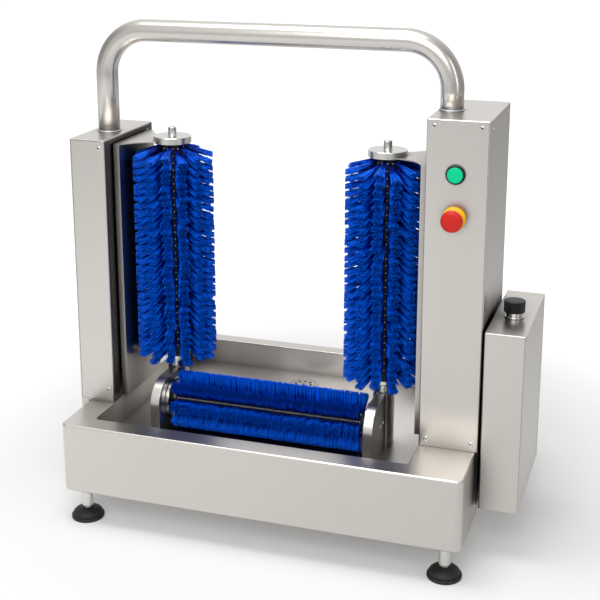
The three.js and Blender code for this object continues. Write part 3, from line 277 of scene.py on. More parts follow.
def add_floor():
    """A white ground whose glow is weak near the object, so that it keeps the real shadow and adds painted
    shade round it, and turns to the room's white further out. In the metal it shows a painted reflection,
    bright on the left and dim on the right.
    """
    bm = bmesh.new()
    bmesh.ops.create_grid(bm, x_segments=1, y_segments=1, size=FLOOR_SIZE)
    mesh = bpy.data.meshes.new("floor")
    bm.to_mesh(mesh)
    bm.free()
    floor = bpy.data.objects.new("floor", mesh)
    scene.collection.objects.link(floor)
    material, tree, paint = new_material("floor_white", 0.0, Roughness=0.9, Specular_IOR_Level=0)
    paint.inputs["Base Color"].default_value = (FLOOR_GREY, FLOOR_GREY, FLOOR_GREY, 1)
    paint.inputs["Emission Color"].default_value = (1, 1, 1, 1)
    place = tree.nodes.new("ShaderNodeTexCoord")
    distance = tree.nodes.new("ShaderNodeVectorMath")
    distance.operation = "LENGTH"
    tree.links.new(place.outputs["Object"], distance.inputs[0])
    # Painted shade: the ground glows less near the object
    lift = add_ramp(tree, distance.outputs["Value"], 0.45, 1.5, 0.16, 0.8)
    axes = tree.nodes.new("ShaderNodeSeparateXYZ")
    tree.links.new(place.outputs["Object"], axes.inputs[0])
    # Painted reflection: seen in the metal, the ground glows brighter on the left than on the right
    across = add_ramp(tree, axes.outputs["X"], -1.0, 0.6, 0.36, 0.06)
    rays = tree.nodes.new("ShaderNodeLightPath")
    glossy = add_math(tree, "MULTIPLY", rays.outputs["Is Glossy Ray"], across)
    glow = add_math(tree, "MULTIPLY_ADD", rays.outputs["Is Camera Ray"], lift, glossy)
    tree.links.new(glow, paint.inputs["Emission Strength"])
    mesh.materials.append(material)


# Shader groups shared by the materials
def new_group(name, inputs, outputs):
    """An empty shader group with its sockets, and its input and output nodes."""
    group = bpy.data.node_groups.new(name, "ShaderNodeTree")
    for socket, kind, value in inputs:
        made = group.interface.new_socket(name=socket, in_out="INPUT", socket_type=kind)
        if value is not None:
            made.default_value = value
    for socket, kind in outputs:
        group.interface.new_socket(name=socket, in_out="OUTPUT", socket_type=kind)
    start = group.nodes.new("NodeGroupInput")
    end = group.nodes.new("NodeGroupOutput")
    return group, start, end


def make_grain_group():
    """Fine scratches from a satin belt, with soft smudges. The vector comes stretched along the grain."""
    group, start, end = new_group(
        "satin_grain",
        [("Vector", "NodeSocketVector", None), ("Place", "NodeSocketVector", None),
         ("Roughness", "NodeSocketFloat", 0.34), ("Spread", "NodeSocketFloat", 0.1),
         ("Depth", "NodeSocketFloat", 0.12), ("Bright", "NodeSocketColor", (0.7, 0.69, 0.67, 1)),
         ("Dull", "NodeSocketColor", (0.62, 0.61, 0.59, 1)), ("Shade", "NodeSocketFloat", 1)],
        [("Color", "NodeSocketColor"), ("Roughness", "NodeSocketFloat"), ("Normal", "NodeSocketVector")])
    scratches = add_noise(group, start.outputs["Vector"], 1, 3, 0.7)
    smudges = add_noise(group, start.outputs["Place"], 7, 4, 0.55)
    both = group.nodes.new("ShaderNodeMix")
    both.data_type = "FLOAT"
    both.inputs["Factor"].default_value = 0.45
    group.links.new(scratches, both.inputs["A"])
    group.links.new(smudges, both.inputs["B"])
    centred = add_math(group, "SUBTRACT", both.outputs["Result"], 0.5)
    rough = add_math(group, "MULTIPLY_ADD", centred, start.outputs["Spread"], start.outputs["Roughness"])
    tone = group.nodes.new("ShaderNodeMix")
    tone.data_type = "RGBA"
    group.links.new(both.outputs["Result"], tone.inputs["Factor"])
    group.links.new(start.outputs["Bright"], tone.inputs["A"])
    group.links.new(start.outputs["Dull"], tone.inputs["B"])
    # The colour is scaled by Shade, which carries painted shade from tight corners
    group.links.new(add_scaled(group, tone.outputs["Result"], start.outputs["Shade"]), end.inputs["Color"])
    group.links.new(rough, end.inputs["Roughness"])
    group.links.new(add_bump(group, scratches, 0.05, start.outputs["Depth"]), end.inputs["Normal"])
    return group


def make_moulding_group():
    """The slightly uneven, fine-grained skin of a moulded plastic or rubber piece."""
    group, start, end = new_group(
        "moulded_skin",
        [("Vector", "NodeSocketVector", None), ("Color", "NodeSocketColor", (0.1, 0.1, 0.1, 1)),
         ("Roughness", "NodeSocketFloat", 0.4), ("Grain", "NodeSocketFloat", 900),
         ("Depth", "NodeSocketFloat", 0.2)],
        [("Color", "NodeSocketColor"), ("Roughness", "NodeSocketFloat"), ("Normal", "NodeSocketVector")])
    grain = add_noise(group, start.outputs["Vector"], start.outputs["Grain"], 2)
    cloud = add_noise(group, start.outputs["Vector"], 45, 3)
    shade = group.nodes.new("ShaderNodeMapRange")
    shade.inputs["To Min"].default_value = 0.82
    shade.inputs["To Max"].default_value = 1.14
    group.links.new(cloud, shade.inputs["Value"])
    rough = add_math(group, "MULTIPLY", shade.outputs[0], start.outputs["Roughness"])
    group.links.new(add_scaled(group, start.outputs["Color"], shade.outputs[0]), end.inputs["Color"])
    group.links.new(rough, end.inputs["Roughness"])
    group.links.new(add_bump(group, grain, 0.06, start.outputs["Depth"]), end.inputs["Normal"])
    return group


GRAIN = make_grain_group()
MOULDING = make_moulding_group()


def new_material(name, metallic, **plain):
    """A material with its shader. Plain values are given by socket name, with _ for each space."""
    material = bpy.data.materials.new(name)
    material.use_nodes = True
    paint = material.node_tree.nodes["Principled BSDF"]
    paint.inputs["Metallic"].default_value = metallic
    for socket, value in plain.items():
        paint.inputs[socket.replace("_", " ")].default_value = value
    return material, material.node_tree, paint


def use_group(tree, group, paint):
    """Places a shader group whose colour, roughness and normal feed the shader."""
    node = tree.nodes.new("ShaderNodeGroup")
    node.node_tree = group
    tree.links.new(node.outputs["Color"], paint.inputs["Base Color"])
    tree.links.new(node.outputs["Roughness"], paint.inputs["Roughness"])
    tree.links.new(node.outputs["Normal"], paint.inputs["Normal"])
    return node


def make_steel(name, stretch, colors, roughness, spread=0.07, depth=0.1, shade=None):
    """Stainless steel ground along one direction: stretch is the grain's fineness along X, Y and Z.
    Shade is how open a place is where the painted shade of a tight corner starts and where it is gone."""
    material, tree, paint = new_material(name, 1.0)
    place = tree.nodes.new("ShaderNodeTexCoord")
    along = tree.nodes.new("ShaderNodeMapping")
    along.inputs["Scale"].default_value = stretch
    tree.links.new(place.outputs["Object"], along.inputs["Vector"])
    node = use_group(tree, GRAIN, paint)
    tree.links.new(along.outputs[0], node.inputs["Vector"])
    tree.links.new(place.outputs["Object"], node.inputs["Place"])
    bright, dull = colors
    for socket, value in (("Roughness", roughness), ("Spread", spread), ("Depth", depth),
                          ("Bright", (*bright, 1)), ("Dull", (*dull, 1))):
        node.inputs[socket].default_value = value
    # Painted shade: the colour darkens where other pieces close a place in
    if shade:
        openness = add_openness(tree, SHADE_REACH)
        tree.links.new(add_ramp(tree, openness, *shade, 0.05, 1), node.inputs["Shade"])
    return material


def make_moulded(name, color, roughness, grain=900, depth=0.2, **plain):
    """Moulded plastic or rubber, with its grain's fineness and depth."""
    material, tree, paint = new_material(name, 0.0, **plain)
    place = tree.nodes.new("ShaderNodeTexCoord")
    node = use_group(tree, MOULDING, paint)
    tree.links.new(place.outputs["Object"], node.inputs["Vector"])
    node.inputs["Color"].default_value = (*color, 1)
    node.inputs["Roughness"].default_value = roughness
    node.inputs["Grain"].default_value = grain
    node.inputs["Depth"].default_value = depth
    return material


def make_bristle(name, centre, along_x, brush):
    """Blue filament, dark at the roots as painted shade and lighter at the tips as painted light, darker
    still where strands close in, with each tuft a little different.
    """
    material, tree, paint = new_material(name, 0.0, Roughness=0.45, Specular_IOR_Level=0.2)
    place = tree.nodes.new("ShaderNodeTexCoord")
    from_axis = tree.nodes.new("ShaderNodeMapping")
    from_axis.inputs["Location"].default_value = (-centre.x, -centre.y, -centre.z)
    tree.links.new(place.outputs["Object"], from_axis.inputs["Vector"])
    flat = tree.nodes.new("ShaderNodeVectorMath")
    flat.operation = "MULTIPLY"
    flat.inputs[1].default_value = (0, 1, 1) if along_x else (1, 1, 0)
    tree.links.new(from_axis.outputs[0], flat.inputs[0])
    distance = tree.nodes.new("ShaderNodeVectorMath")
    distance.operation = "LENGTH"
    tree.links.new(flat.outputs[0], distance.inputs[0])
    outwards = tree.nodes.new("ShaderNodeMapRange")
    outwards.inputs["From Min"].default_value = brush["reach"] * 0.3 * MM
    outwards.inputs["From Max"].default_value = brush["reach"] * MM
    tree.links.new(distance.outputs["Value"], outwards.inputs["Value"])
    uneven = brush["patches"] / 2
    patches = add_noise(tree, place.outputs["Object"], 70, 3)
    patches = add_ramp(tree, patches, 0.2, 0.8, 0.5 - uneven, 0.5 + uneven)
    # Painted shade and light: dark near the core, lighter outwards to the tips
    tone = tree.nodes.new("ShaderNodeValToRGB")
    tone.color_ramp.elements[0].position = 0.35
    tone.color_ramp.elements[0].color = (0.0, 0.001, 0.03, 1)
    tone.color_ramp.elements[1].position = 1
    tone.color_ramp.elements[1].color = (0.0, 0.15, 1.0, 1)
    middle = tone.color_ramp.elements.new(0.75)
    middle.color = (0.0, 0.026, 0.42, 1)
    tree.links.new(add_math(tree, "MULTIPLY_ADD", outwards.outputs[0], 0.7, patches), tone.inputs["Fac"])
    # Painted shade where strands close in
    openness = add_ramp(tree, add_openness(tree, BRISTLE_SHADE), *brush["shade"], 0.08, 1)
    tree.links.new(add_scaled(tree, tone.outputs["Color"], openness), paint.inputs["Base Color"])
    return material


# Grain fineness for sheets ground upright, level or along the depth, and for turned and drawn pieces
UPRIGHT = (1500, 1500, 14)
LEVEL = (14, 1500, 1500)
DEEP = (1500, 14, 1500)
DRAWN = (900, 900, 900)
TURNED = (300, 300, 2600)
FINE = (500, 500, 500)
CAST = (260, 260, 260)
# The bright and the dull tone of each steel
SATIN = (0.635, 0.608, 0.574), (0.56, 0.535, 0.503)
# A lighter copy of the satin tones for the basin: painted light
PAINTED_LIGHT_SATIN = (0.74, 0.712, 0.675), (0.66, 0.633, 0.6)
POLISHED = (0.66, 0.65, 0.63), (0.58, 0.57, 0.55)
THREAD = (0.42, 0.405, 0.385), (0.34, 0.328, 0.312)
# Dark tones that paint a dark reflection on the stands' outer faces
DARK_REFLECTION_TONES = (0.16, 0.152, 0.14), (0.10, 0.095, 0.088)
# Near-black tones that paint the shade of gaps
SHADE_PAINT_TONES = (0.12, 0.115, 0.11), (0.08, 0.076, 0.072)
GREY_METAL = (0.5, 0.51, 0.52), (0.4, 0.41, 0.42)
# Where the painted shade of tight corners, of open places and of the basin starts and ends
TIGHT, OPEN, BASIN_SHADE = (0.2, 0.9), (0.0, 0.5), (0.12, 0.8)

steel_upright = make_steel("steel_upright", UPRIGHT, SATIN, 0.32, shade=TIGHT)
steel_level = make_steel("steel_level", LEVEL, SATIN, 0.34)
# The basin steel is the lighter copy of the satin steel: painted light
steel_basin = make_steel("steel_basin", LEVEL, PAINTED_LIGHT_SATIN, 0.34, shade=BASIN_SHADE)
steel_tube = make_steel("steel_tube", DRAWN, SATIN, 0.27, 0.05, 0.03)
steel_turned = make_steel("steel_turned", TURNED, POLISHED, 0.27, 0.08, 0.08)
steel_polished = make_steel("steel_polished", FINE, POLISHED, 0.22, 0.06, 0.03)
steel_stand = make_steel("steel_stand", DEEP, SATIN, 0.33, 0.07, 0.08, OPEN)
# Dark steel that paints a dark reflection on the stands' outer faces
steel_dark_reflection_paint = make_steel("steel_dark_reflection_paint", DEEP, DARK_REFLECTION_TONES, 0.33, 0.07, 0.08)
steel_thread = make_steel("steel_thread", FINE, THREAD, 0.3, 0.06, 0.03)
# Near-black steel put where there is only shade: painted shade in gaps and in the drain
steel_shade_paint = make_steel("steel_shade_paint", UPRIGHT, SHADE_PAINT_TONES, 0.36, 0.05, 0.08, TIGHT)
cast_metal = make_steel("cast_metal", CAST, GREY_METAL, 0.5, 0.2, 0.5)
rubber = make_moulded("rubber", (0.014, 0.013, 0.012), 0.6, 500, 0.4, Specular_IOR_Level=0.4)
black_plastic = make_moulded("black_plastic", (0.008, 0.008, 0.009), 0.42, 900, 0.25, Specular_IOR_Level=0.35)
# Near-black for the screws' hexagon sockets: painted shade of the recess
socket_shade_paint = make_moulded("socket_shade_paint", (0.02, 0.02, 0.02), 0.6)
green_plastic = make_moulded("green_plastic", (0.0, 0.62, 0.28), 0.38, 600, 0.06, Specular_IOR_Level=0.2)
red_plastic = make_moulded("red_plastic", (0.60, 0.018, 0.010), 0.4, 600, 0.08, Specular_IOR_Level=0.25)
yellow_plastic = make_moulded("yellow_plastic", (0.85, 0.48, 0.006), 0.42, 700, 0.12, Specular_IOR_Level=0.3)
grey_plastic = make_moulded("grey_plastic", (0.55, 0.55, 0.53), 0.5)
core_plastic = make_moulded("core_plastic", (0.003, 0.004, 0.012), 0.75)
root_plastic = make_moulded("root_plastic", (0.9, 0.88, 0.8), 0.5)


# Pieces
def add_piece(name, bm, material, node=None, body=None, weighted=False):
    """A finished mesh as an object that rides on a body. Where it stands for a CAD node, it rides with it."""
    mesh = bpy.data.meshes.new(name)
    bm.to_mesh(mesh)
    bm.free()
    piece = bpy.data.objects.new(name, mesh)
    scene.collection.objects.link(piece)
    mesh.materials.append(material)
    mesh.shade_smooth()
    mesh.set_sharp_from_angle(angle=SMOOTH_ANGLE)
    if weighted:
        flatten = piece.modifiers.new("flat_faces", "WEIGHTED_NORMAL")
        flatten.keep_sharp = True
    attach(piece, body or nodes[node]["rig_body"])
    if node:
        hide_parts(node)
    return piece


def bevel(bm, geom, width, segments, affect="EDGES", **more):
    """Rounds edges or corners by a width in mm."""
    bmesh.ops.bevel(bm, geom=geom, offset=width * MM, offset_type="OFFSET", segments=segments, profile=0.5,
                    affect=affect, material=-1, **more)


def softened(node, material, width=COVER_EDGE, segments=2, crest=0, sunk=0, painted_shade_steel=None):
    """A CAD sheet piece with its edges rounded: merged, flattened to whole faces, then bevelled.
    With a crest, the folds round its top face are bevelled first and wider. Sunk sets its outermost face
    at the right in by that much, and a shade steel, if given, goes on its faces that look to the right as
    near-black painted shade."""
    bm = bmesh.new()
    bm.from_mesh(nodes[node].data)
    bmesh.ops.remove_doubles(bm, verts=bm.verts, dist=0.01 * MM)
    bmesh.ops.dissolve_limit(bm, angle_limit=math.radians(0.5), verts=bm.verts, edges=bm.edges)
    outermost = max(vert.co.x for vert in bm.verts) - 0.05 * MM
    outer = [vert for vert in bm.verts if vert.co.x > outermost]
    bmesh.ops.translate(bm, vec=(-sunk * MM, 0, 0), verts=outer)
    if crest:
        top = max(vert.co.z for vert in bm.verts) - 0.05 * MM
        folds = [edge for edge in bm.edges if edge.is_manifold and edge.calc_face_angle(0) > FOLD_ANGLE
                 and all(vert.co.z > top for vert in edge.verts)]
        bevel(bm, folds, crest, 5, clamp_overlap=True)
    sharp = [edge for edge in bm.edges if edge.is_manifold and edge.calc_face_angle(0) > BEND_ANGLE]
    bevel(bm, sharp, width, segments, clamp_overlap=True, loop_slide=True)
    sheet = add_piece(f"{node}_sheet", bm, material, node, weighted=True)
    # Faces that look to the right get the near-black steel: painted shade
    if painted_shade_steel:
        sheet.data.materials.append(painted_shade_steel)
        for face in sheet.data.polygons:
            face.material_index = int(face.normal.x > 0.99)
    return sheet


def spun(profile, place, axis="Z", steps=ROUND_STEPS):
    """Turned from (radius, height) pairs in mm about an axis through place. Ends on the axis close."""
    bm = bmesh.new()
    points = [bm.verts.new((radius * MM, 0, height * MM)) for radius, height in profile]
    edges = [bm.edges.new(pair) for pair in zip(points, points[1:])]
    bmesh.ops.spin(bm, geom=points + edges, cent=(0, 0, 0), axis=(0, 0, 1), dvec=(0, 0, 0),
                   angle=2 * math.pi, steps=steps, use_merge=True)
    bmesh.ops.remove_doubles(bm, verts=bm.verts, dist=0.005 * MM)
    bmesh.ops.recalc_face_normals(bm, faces=bm.faces)
    turn = {"Z": Matrix.Identity(4), "X": Matrix.Rotation(math.pi / 2, 4, "Y"),
            "FRONT": Matrix.Rotation(math.pi / 2, 4, "X")}[axis]
    bmesh.ops.transform(bm, matrix=Matrix.Translation(place) @ turn, verts=bm.verts)
    return bm


def closed(profile):
    """A profile that comes back to where it starts, for a ring or a tube."""
    return [*profile, profile[0]]


def rounded(corners, edge=0.5):
    """A profile whose corners, but not its ends, are cut by a small edge that catches the light."""
    made = [corners[0]]
    for before, here, after in zip(corners, corners[1:], corners[2:]):
        here = Vector(here)
        back, on = Vector(before) - here, Vector(after) - here
        cut = min(edge, back.length * 0.4, on.length * 0.4)
        made += [tuple(here + way.normalized() * cut) for way in (back, on)]
    return [*made, corners[-1]]


def ring_of_edges(bm, left, right, front, back, z, radius, steps=8):
    """A level rectangle with round corners, in mm, as a face of its own. Gives its edges and the face."""
    known = set(bm.faces)
    corners = [bm.verts.new((x * MM, y * MM, z * MM))
               for x, y in ((left, front), (right, front), (right, back), (left, back))]
    bm.faces.new(corners)
    bevel(bm, corners, radius, steps, "VERTICES")
    face = next(made for made in bm.faces if made not in known)
    return list(face.edges), face


def lofted(bm, rings):
    """Bridges level round-cornered rectangles, each (left, right, front, back, z, radius) in mm."""
    last = None
    for ring in rings:
        edges, face = ring_of_edges(bm, *ring)
        bmesh.ops.delete(bm, geom=[face], context="FACES_ONLY")
        if last:
            bmesh.ops.bridge_loops(bm, edges=last + edges)
        last = edges


CORNERS = ("front_left", "front_right", "back_left", "back_right")


def make_base():
    """One folded sheet from the return flange over the walls and the rim to the basin opening."""
    low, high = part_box("base_frame")
    left, right, front, back = low.x / MM, high.x / MM, low.y / MM, high.y / MM
    top = high.z / MM
    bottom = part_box("bottom_cover")[0].z / MM - SHEET - SEAM
    basin_low, basin_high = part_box("basin_tray")
    inner = (basin_low.x / MM + BASIN_HEM, basin_high.x / MM - BASIN_HEM,
             basin_low.y / MM + BASIN_HEM, basin_high.y / MM - BASIN_HEM)
    quarters = [i / FOLD_STEPS * math.pi / 2 for i in range(FOLD_STEPS + 1)]

    def outer(inset, z):
        radius = BASE_CORNER - min(inset, BASE_CORNER / 2)
        return left + inset, right - inset, front + inset, back - inset, z, radius

    rings = [(left + BASE_FLANGE, right - BASE_FLANGE, front + BASE_FLANGE, back - BASE_FLANGE, bottom,
              BASE_CORNER / 2)]
    for angle in quarters:
        rings.append(outer(BASE_FOLD * (1 - math.sin(angle)), bottom + BASE_FOLD * (1 - math.cos(angle))))
    for angle in quarters:
        rings.append(outer(BASE_FOLD * (1 - math.cos(angle)), top - BASE_FOLD * (1 - math.sin(angle))))
    for angle in quarters:
        grow = OPENING_BEND * (1 - math.sin(angle))
        rings.append((inner[0] - grow, inner[1] + grow, inner[2] - grow, inner[3] + grow,
                      top - OPENING_BEND * (1 - math.cos(angle)), OPENING_CORNER + grow))
    bm = bmesh.new()
    lofted(bm, rings)
    bmesh.ops.recalc_face_normals(bm, faces=bm.faces)
    rim = [face for face in bm.faces if face.calc_center_median().z > (top - 1) * MM]
    if sum(face.normal.z * face.calc_area() for face in rim) < 0:
        bmesh.ops.reverse_faces(bm, faces=bm.faces)
    base = add_piece("base_shell", bm, steel_level, "base_frame", weighted=True)
    wall = base.modifiers.new("sheet", "SOLIDIFY")
    wall.thickness = BASE_WALL * MM
    wall.offset = -1
    for corner in CORNERS:
        centre = mid(f"foot_spindle_{corner}")
        profile = closed([(5.4, 24), (10, 24), (10, bottom + 1), (5.4, bottom + 1)])
        add_piece(f"foot_socket_{corner}", spun(profile, (centre.x, centre.y, 0)), steel_turned, body="frame")


def make_feet():
    """Rubber pads and threaded spindles, turned from (radius, height) pairs in mm."""
    for corner in CORNERS:
        centre = mid(f"foot_pad_{corner}")
        place = (centre.x, centre.y, 0)
        dome = [(0, 0), (27.6, 0), (28.3, 0.6), (28.5, 1.6), (28.5, 5.0), (27.9, 5.9), (25.6, 6.2)]
        dome += [(11.2 + 15.2 * math.cos(i / 4), 6.2 + 11 * math.sin(i / 4)) for i in range(1, 7)]
        dome += [(11, 17.6), (10.4, 18), (6.4, 18), (5.6, 17.2), (5.6, 12), (0, 12)]
        add_piece(f"foot_rubber_{corner}", spun(dome, place), rubber, f"foot_pad_{corner}")
        low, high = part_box(f"foot_spindle_{corner}")
        bottom, top = low.z / MM, high.z / MM
        z = THREAD_START
        thread = [(0, bottom), (4.8, bottom), (4.8, z)]
        while z + THREAD_PITCH < top - 0.6:
            thread += [(4.35, z + 0.3), (4.95, z + 0.9), (4.95, z + 1.1)]
            z += THREAD_PITCH
        thread += [(4.4, top - 0.4), (4.0, top), (0, top)]
        spindle = spun(thread, place, steps=32)
        hex_nut(spindle, centre, 18.4, 22.2, 8)
        add_piece(f"foot_screw_{corner}", spindle, steel_thread, f"foot_spindle_{corner}")


def hex_nut(bm, centre, z0, z1, radius):
    """Adds a six-sided nut with chamfered corners to a bmesh, heights and radius in mm."""
    made = bmesh.ops.create_cone(bm, cap_ends=True, segments=6, radius1=radius * MM, radius2=radius * MM,
                                 depth=(z1 - z0) * MM)
    verts = made["verts"]
    bmesh.ops.translate(bm, vec=(centre.x, centre.y, (z0 + z1) / 2 * MM), verts=verts)
    edges = {edge for vert in verts for edge in vert.link_edges}
    rim = [edge for edge in edges if len({face.normal.z > 0.5 for face in edge.link_faces}) == 2]
    bevel(bm, rim, 0.5, 2)


def make_cabinets():
    """Columns, tank and covers keep the CAD sheets, with their edges rounded."""
    # The left column's faces that look to the right get near-black steel: painted shade of the gap beside the
    # channel
    softened("left_column_housing", steel_upright, crest=COVER_CREST, painted_shade_steel=steel_shade_paint)
    softened("left_column_cover", steel_upright, COVER_SEAM, painted_shade_steel=steel_shade_paint)
    softened("right_column_housing", steel_upright, crest=COVER_CREST)
    softened("right_column_front_cover", steel_upright, COVER_SEAM)
    softened("right_column_side_cover", steel_upright, COVER_SEAM)
    basin = softened("basin_tray", steel_basin, BASIN_FOLD, 3)
    # The drain below the strainer gets near-black steel: painted shade in the recess
    basin.data.materials.append(steel_shade_paint)
    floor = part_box("drain_strainer")[0].z - 0.3 * MM
    for face in basin.data.polygons:
        face.material_index = int(face.center.z < floor)
    softened("bottom_cover", steel_level, 0.4)
    softened("drain_strainer", steel_turned, 0.5)
    softened("tank_body", steel_upright, crest=COVER_CREST)
    softened("tank_side_cover", steel_upright, COVER_SEAM, sunk=SCREW_HEAD)
    softened("left_brush_channel", steel_upright, 0.5)
    softened("right_brush_channel", steel_upright, 0.5)
    softened("mains_gland", black_plastic, 0.5)


def of_kind(geom, kind):
    """The vertices, or the edges, of what a bmesh operator gives back."""
    return [item for item in geom if isinstance(item, kind)]


def make_handle():
    """One tube: a ring of edges drawn up, spun through the bend, drawn across and down again."""
    low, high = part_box("handle_tube")
    weld = HANDLE_WELD * MM
    radius = (high.y - low.y) / 2 - weld
    y = (low.y + high.y) / 2
    left_x = low.x + weld + radius
    right_x = high.x - weld - radius
    left_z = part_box("left_column_housing")[1].z + SEAM * MM
    right_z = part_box("right_column_housing")[1].z + SEAM * MM
    bend = HANDLE_BEND * MM
    level = high.z - radius
    bm = bmesh.new()
    made = bmesh.ops.create_circle(bm, segments=40, radius=radius)
    bmesh.ops.translate(bm, vec=(left_x, y, left_z), verts=made["verts"])
    ring = bm.edges[:]

    def draw(ring, vec):
        made = bmesh.ops.extrude_edge_only(bm, edges=ring)["geom"]
        bmesh.ops.translate(bm, vec=vec, verts=of_kind(made, bmesh.types.BMVert))
        return [edge for edge in of_kind(made, bmesh.types.BMEdge) if len(edge.link_faces) == 1]

    def turn(ring, centre, angle):
        made = bmesh.ops.spin(bm, geom=ring, cent=centre, axis=(0, 1, 0), dvec=(0, 0, 0), angle=angle,
                              steps=20)
        return of_kind(made["geom_last"], bmesh.types.BMEdge)

    ring = draw(ring, (0, 0, level - bend - left_z))
    ring = turn(ring, (left_x + bend, y, level - bend), math.pi / 2)
    ring = draw(ring, (right_x - left_x - 2 * bend, 0, 0))
    ring = turn(ring, (right_x - bend, y, level - bend), math.pi / 2)
    draw(ring, (0, 0, right_z - level + bend))
    bmesh.ops.remove_doubles(bm, verts=bm.verts, dist=0.01 * MM)
    bmesh.ops.recalc_face_normals(bm, faces=bm.faces)
    handle = add_piece("handle", bm, steel_tube, "handle_tube")
    wall = handle.modifiers.new("tube_wall", "SOLIDIFY")
    wall.thickness = HANDLE_WALL * MM
    wall.offset = -1
    for name, x, z in (("left", left_x, left_z), ("right", right_x, right_z)):
        bead = [(18.9, 0), (20.6, 0), (20.8, 0.4), (20.5, 1.1), (19.8, 1.8), (18.9, 2.3)]
        add_piece(f"handle_weld_{name}", spun(closed(bead), (x, y, z)), cast_metal, body="frame")


def make_bearings_and_shafts():
    """The top bearing, shaft and lower hub of each side brush."""
    for side in ("left", "right"):
        low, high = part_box(f"{side}_top_bearing")
        centre = mid(f"{side}_brush_shaft")
        height = (high.z - low.z) / MM
        ring = rounded([(8.4, 0), (33, 0), (33, height), (8.4, height)], 0.8)
        add_piece(f"{side}_bearing_disc", spun(closed(ring), (centre.x, centre.y, low.z)), steel_turned,
                  f"{side}_top_bearing")
        low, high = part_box(f"{side}_brush_shaft")
        length = (high.z - low.z) / MM
        shoulder = length - 15
        shaft = rounded([(0, 0), (8, 0), (8, shoulder), (7.2, shoulder + 0.6), (7.2, length), (0, length)],
                        0.7)
        add_piece(f"{side}_shaft", spun(shaft, (centre.x, centre.y, low.z)), steel_polished,
                  f"{side}_brush_shaft")
        low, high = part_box(f"{side}_brush_hub")
        hub = [(8.3, 0), (16.9, 0), (17.5, 0.6), (17.5, 11.9), (16.9, 12.5), (14.2, 12.5), (14, 13.2),
               (14, (high.z - low.z) / MM), (8.3, (high.z - low.z) / MM)]
        add_piece(f"{side}_hub", spun(closed(hub), (centre.x, centre.y, low.z)), steel_polished,
                  f"{side}_brush_hub")


def make_stands():
    """Arched plates with a polished crown, each welded to the upright tube that carries a brush shaft."""
    axle = mid("sole_brush_axle")
    for side, out in (("left", -1), ("right", 1)):
        low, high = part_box(f"{side}_brush_stand")
        shaft = mid(f"{side}_brush_shaft")
        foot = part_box("drain_strainer")[0].z
        half = STAND_HALF * MM
        bm = bmesh.new()
        front = low.y
        back = 2 * axle.y - front
        corners = [bm.verts.new((shaft.x - half, y, z)) for y, z in
                   ((front, foot), (back, foot), (back, high.z - SEAM * MM), (front, high.z - SEAM * MM))]
        bm.faces.new(corners)
        bevel(bm, corners[2:], STAND_CROWN, 14, "VERTICES")
        drawn = bmesh.ops.extrude_face_region(bm, geom=bm.faces[:])["geom"]
        bmesh.ops.translate(bm, vec=(2 * half, 0, 0), verts=of_kind(drawn, bmesh.types.BMVert))
        bmesh.ops.recalc_face_normals(bm, faces=bm.faces)
        rim = [edge for edge in bm.edges if edge.calc_face_angle(0) > FOLD_ANGLE]
        bevel(bm, rim, 1.2, 3)
        # Faces that look outwards get the dark steel: a painted dark reflection
        for wall in bm.faces:
            wall.material_index = int(wall.normal.x * out > 0.99)
        stand = add_piece(f"{side}_stand_plate", bm, steel_stand, f"{side}_brush_stand",
                          weighted=True)
        stand.data.materials.append(steel_dark_reflection_paint)
        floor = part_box(f"{side}_brush_stand")[0].z
        top = (high.z - floor) / MM
        tube = [(8.4, 0), *rounded([(19, 0), (19, top), (8.4, top)], 0.8)]
        add_piece(f"{side}_stand_tube", spun(closed(tube), (shaft.x, shaft.y, floor)), steel_turned,
                  body="frame")
        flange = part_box(f"{side}_axle_flange")[0]
        disc = rounded([(8.4, 0), (37, 0), (37, 6), (8.4, 6)], 0.7)
        add_piece(f"{side}_flange", spun(closed(disc), (flange.x, axle.y, axle.z), "X"), steel_polished,
                  f"{side}_axle_flange")
        face = shaft.x + out * half
        for label, shift in (("a", -9), ("b", 9)):
            add_screw(f"{side}_stand_screw_{label}", (face, axle.y + shift * MM, axle.z), Vector((out, 0, 0)),
                      4.2)


SCREW_TURNS = {"FRONT": Vector((0, -1, 0)), "RIGHT": Vector((1, 0, 0))}


def add_screw(name, place, outwards, radius=4):
    """A small pan-head screw on a face that looks outwards, its hexagon socket a flat near-black hexagon as
    painted shade of the recess.
    """
    head = [(0, 0.3), (radius * 0.42, 0.3), (radius * 0.46, 0.9), (radius * 0.6, SCREW_HEAD),
            (radius * 0.86, 0.75), (radius, 0.3), (radius, -0.2), (0, -0.2)]
    bm = spun(head, (0, 0, 0), steps=24)
    turn = outwards.to_track_quat("Z", "Y").to_matrix().to_4x4()
    bmesh.ops.transform(bm, matrix=Matrix.Translation(place) @ turn, verts=bm.verts)
    add_piece(name, bm, steel_polished, body="frame")
    # Painted shade: a flat dark hexagon stands for the deep socket
    socket_shade = bmesh.new()
    bmesh.ops.create_cone(socket_shade, cap_ends=True, segments=6, radius1=radius * 0.4 * MM,
                          radius2=radius * 0.4 * MM, depth=0.3 * MM)
    shift = Matrix.Translation((0, 0, 0.3 * MM))
    bmesh.ops.transform(socket_shade, matrix=Matrix.Translation(place) @ turn @ shift, verts=socket_shade.verts)
    add_piece(f"{name}_socket", socket_shade, socket_shade_paint, body="frame")


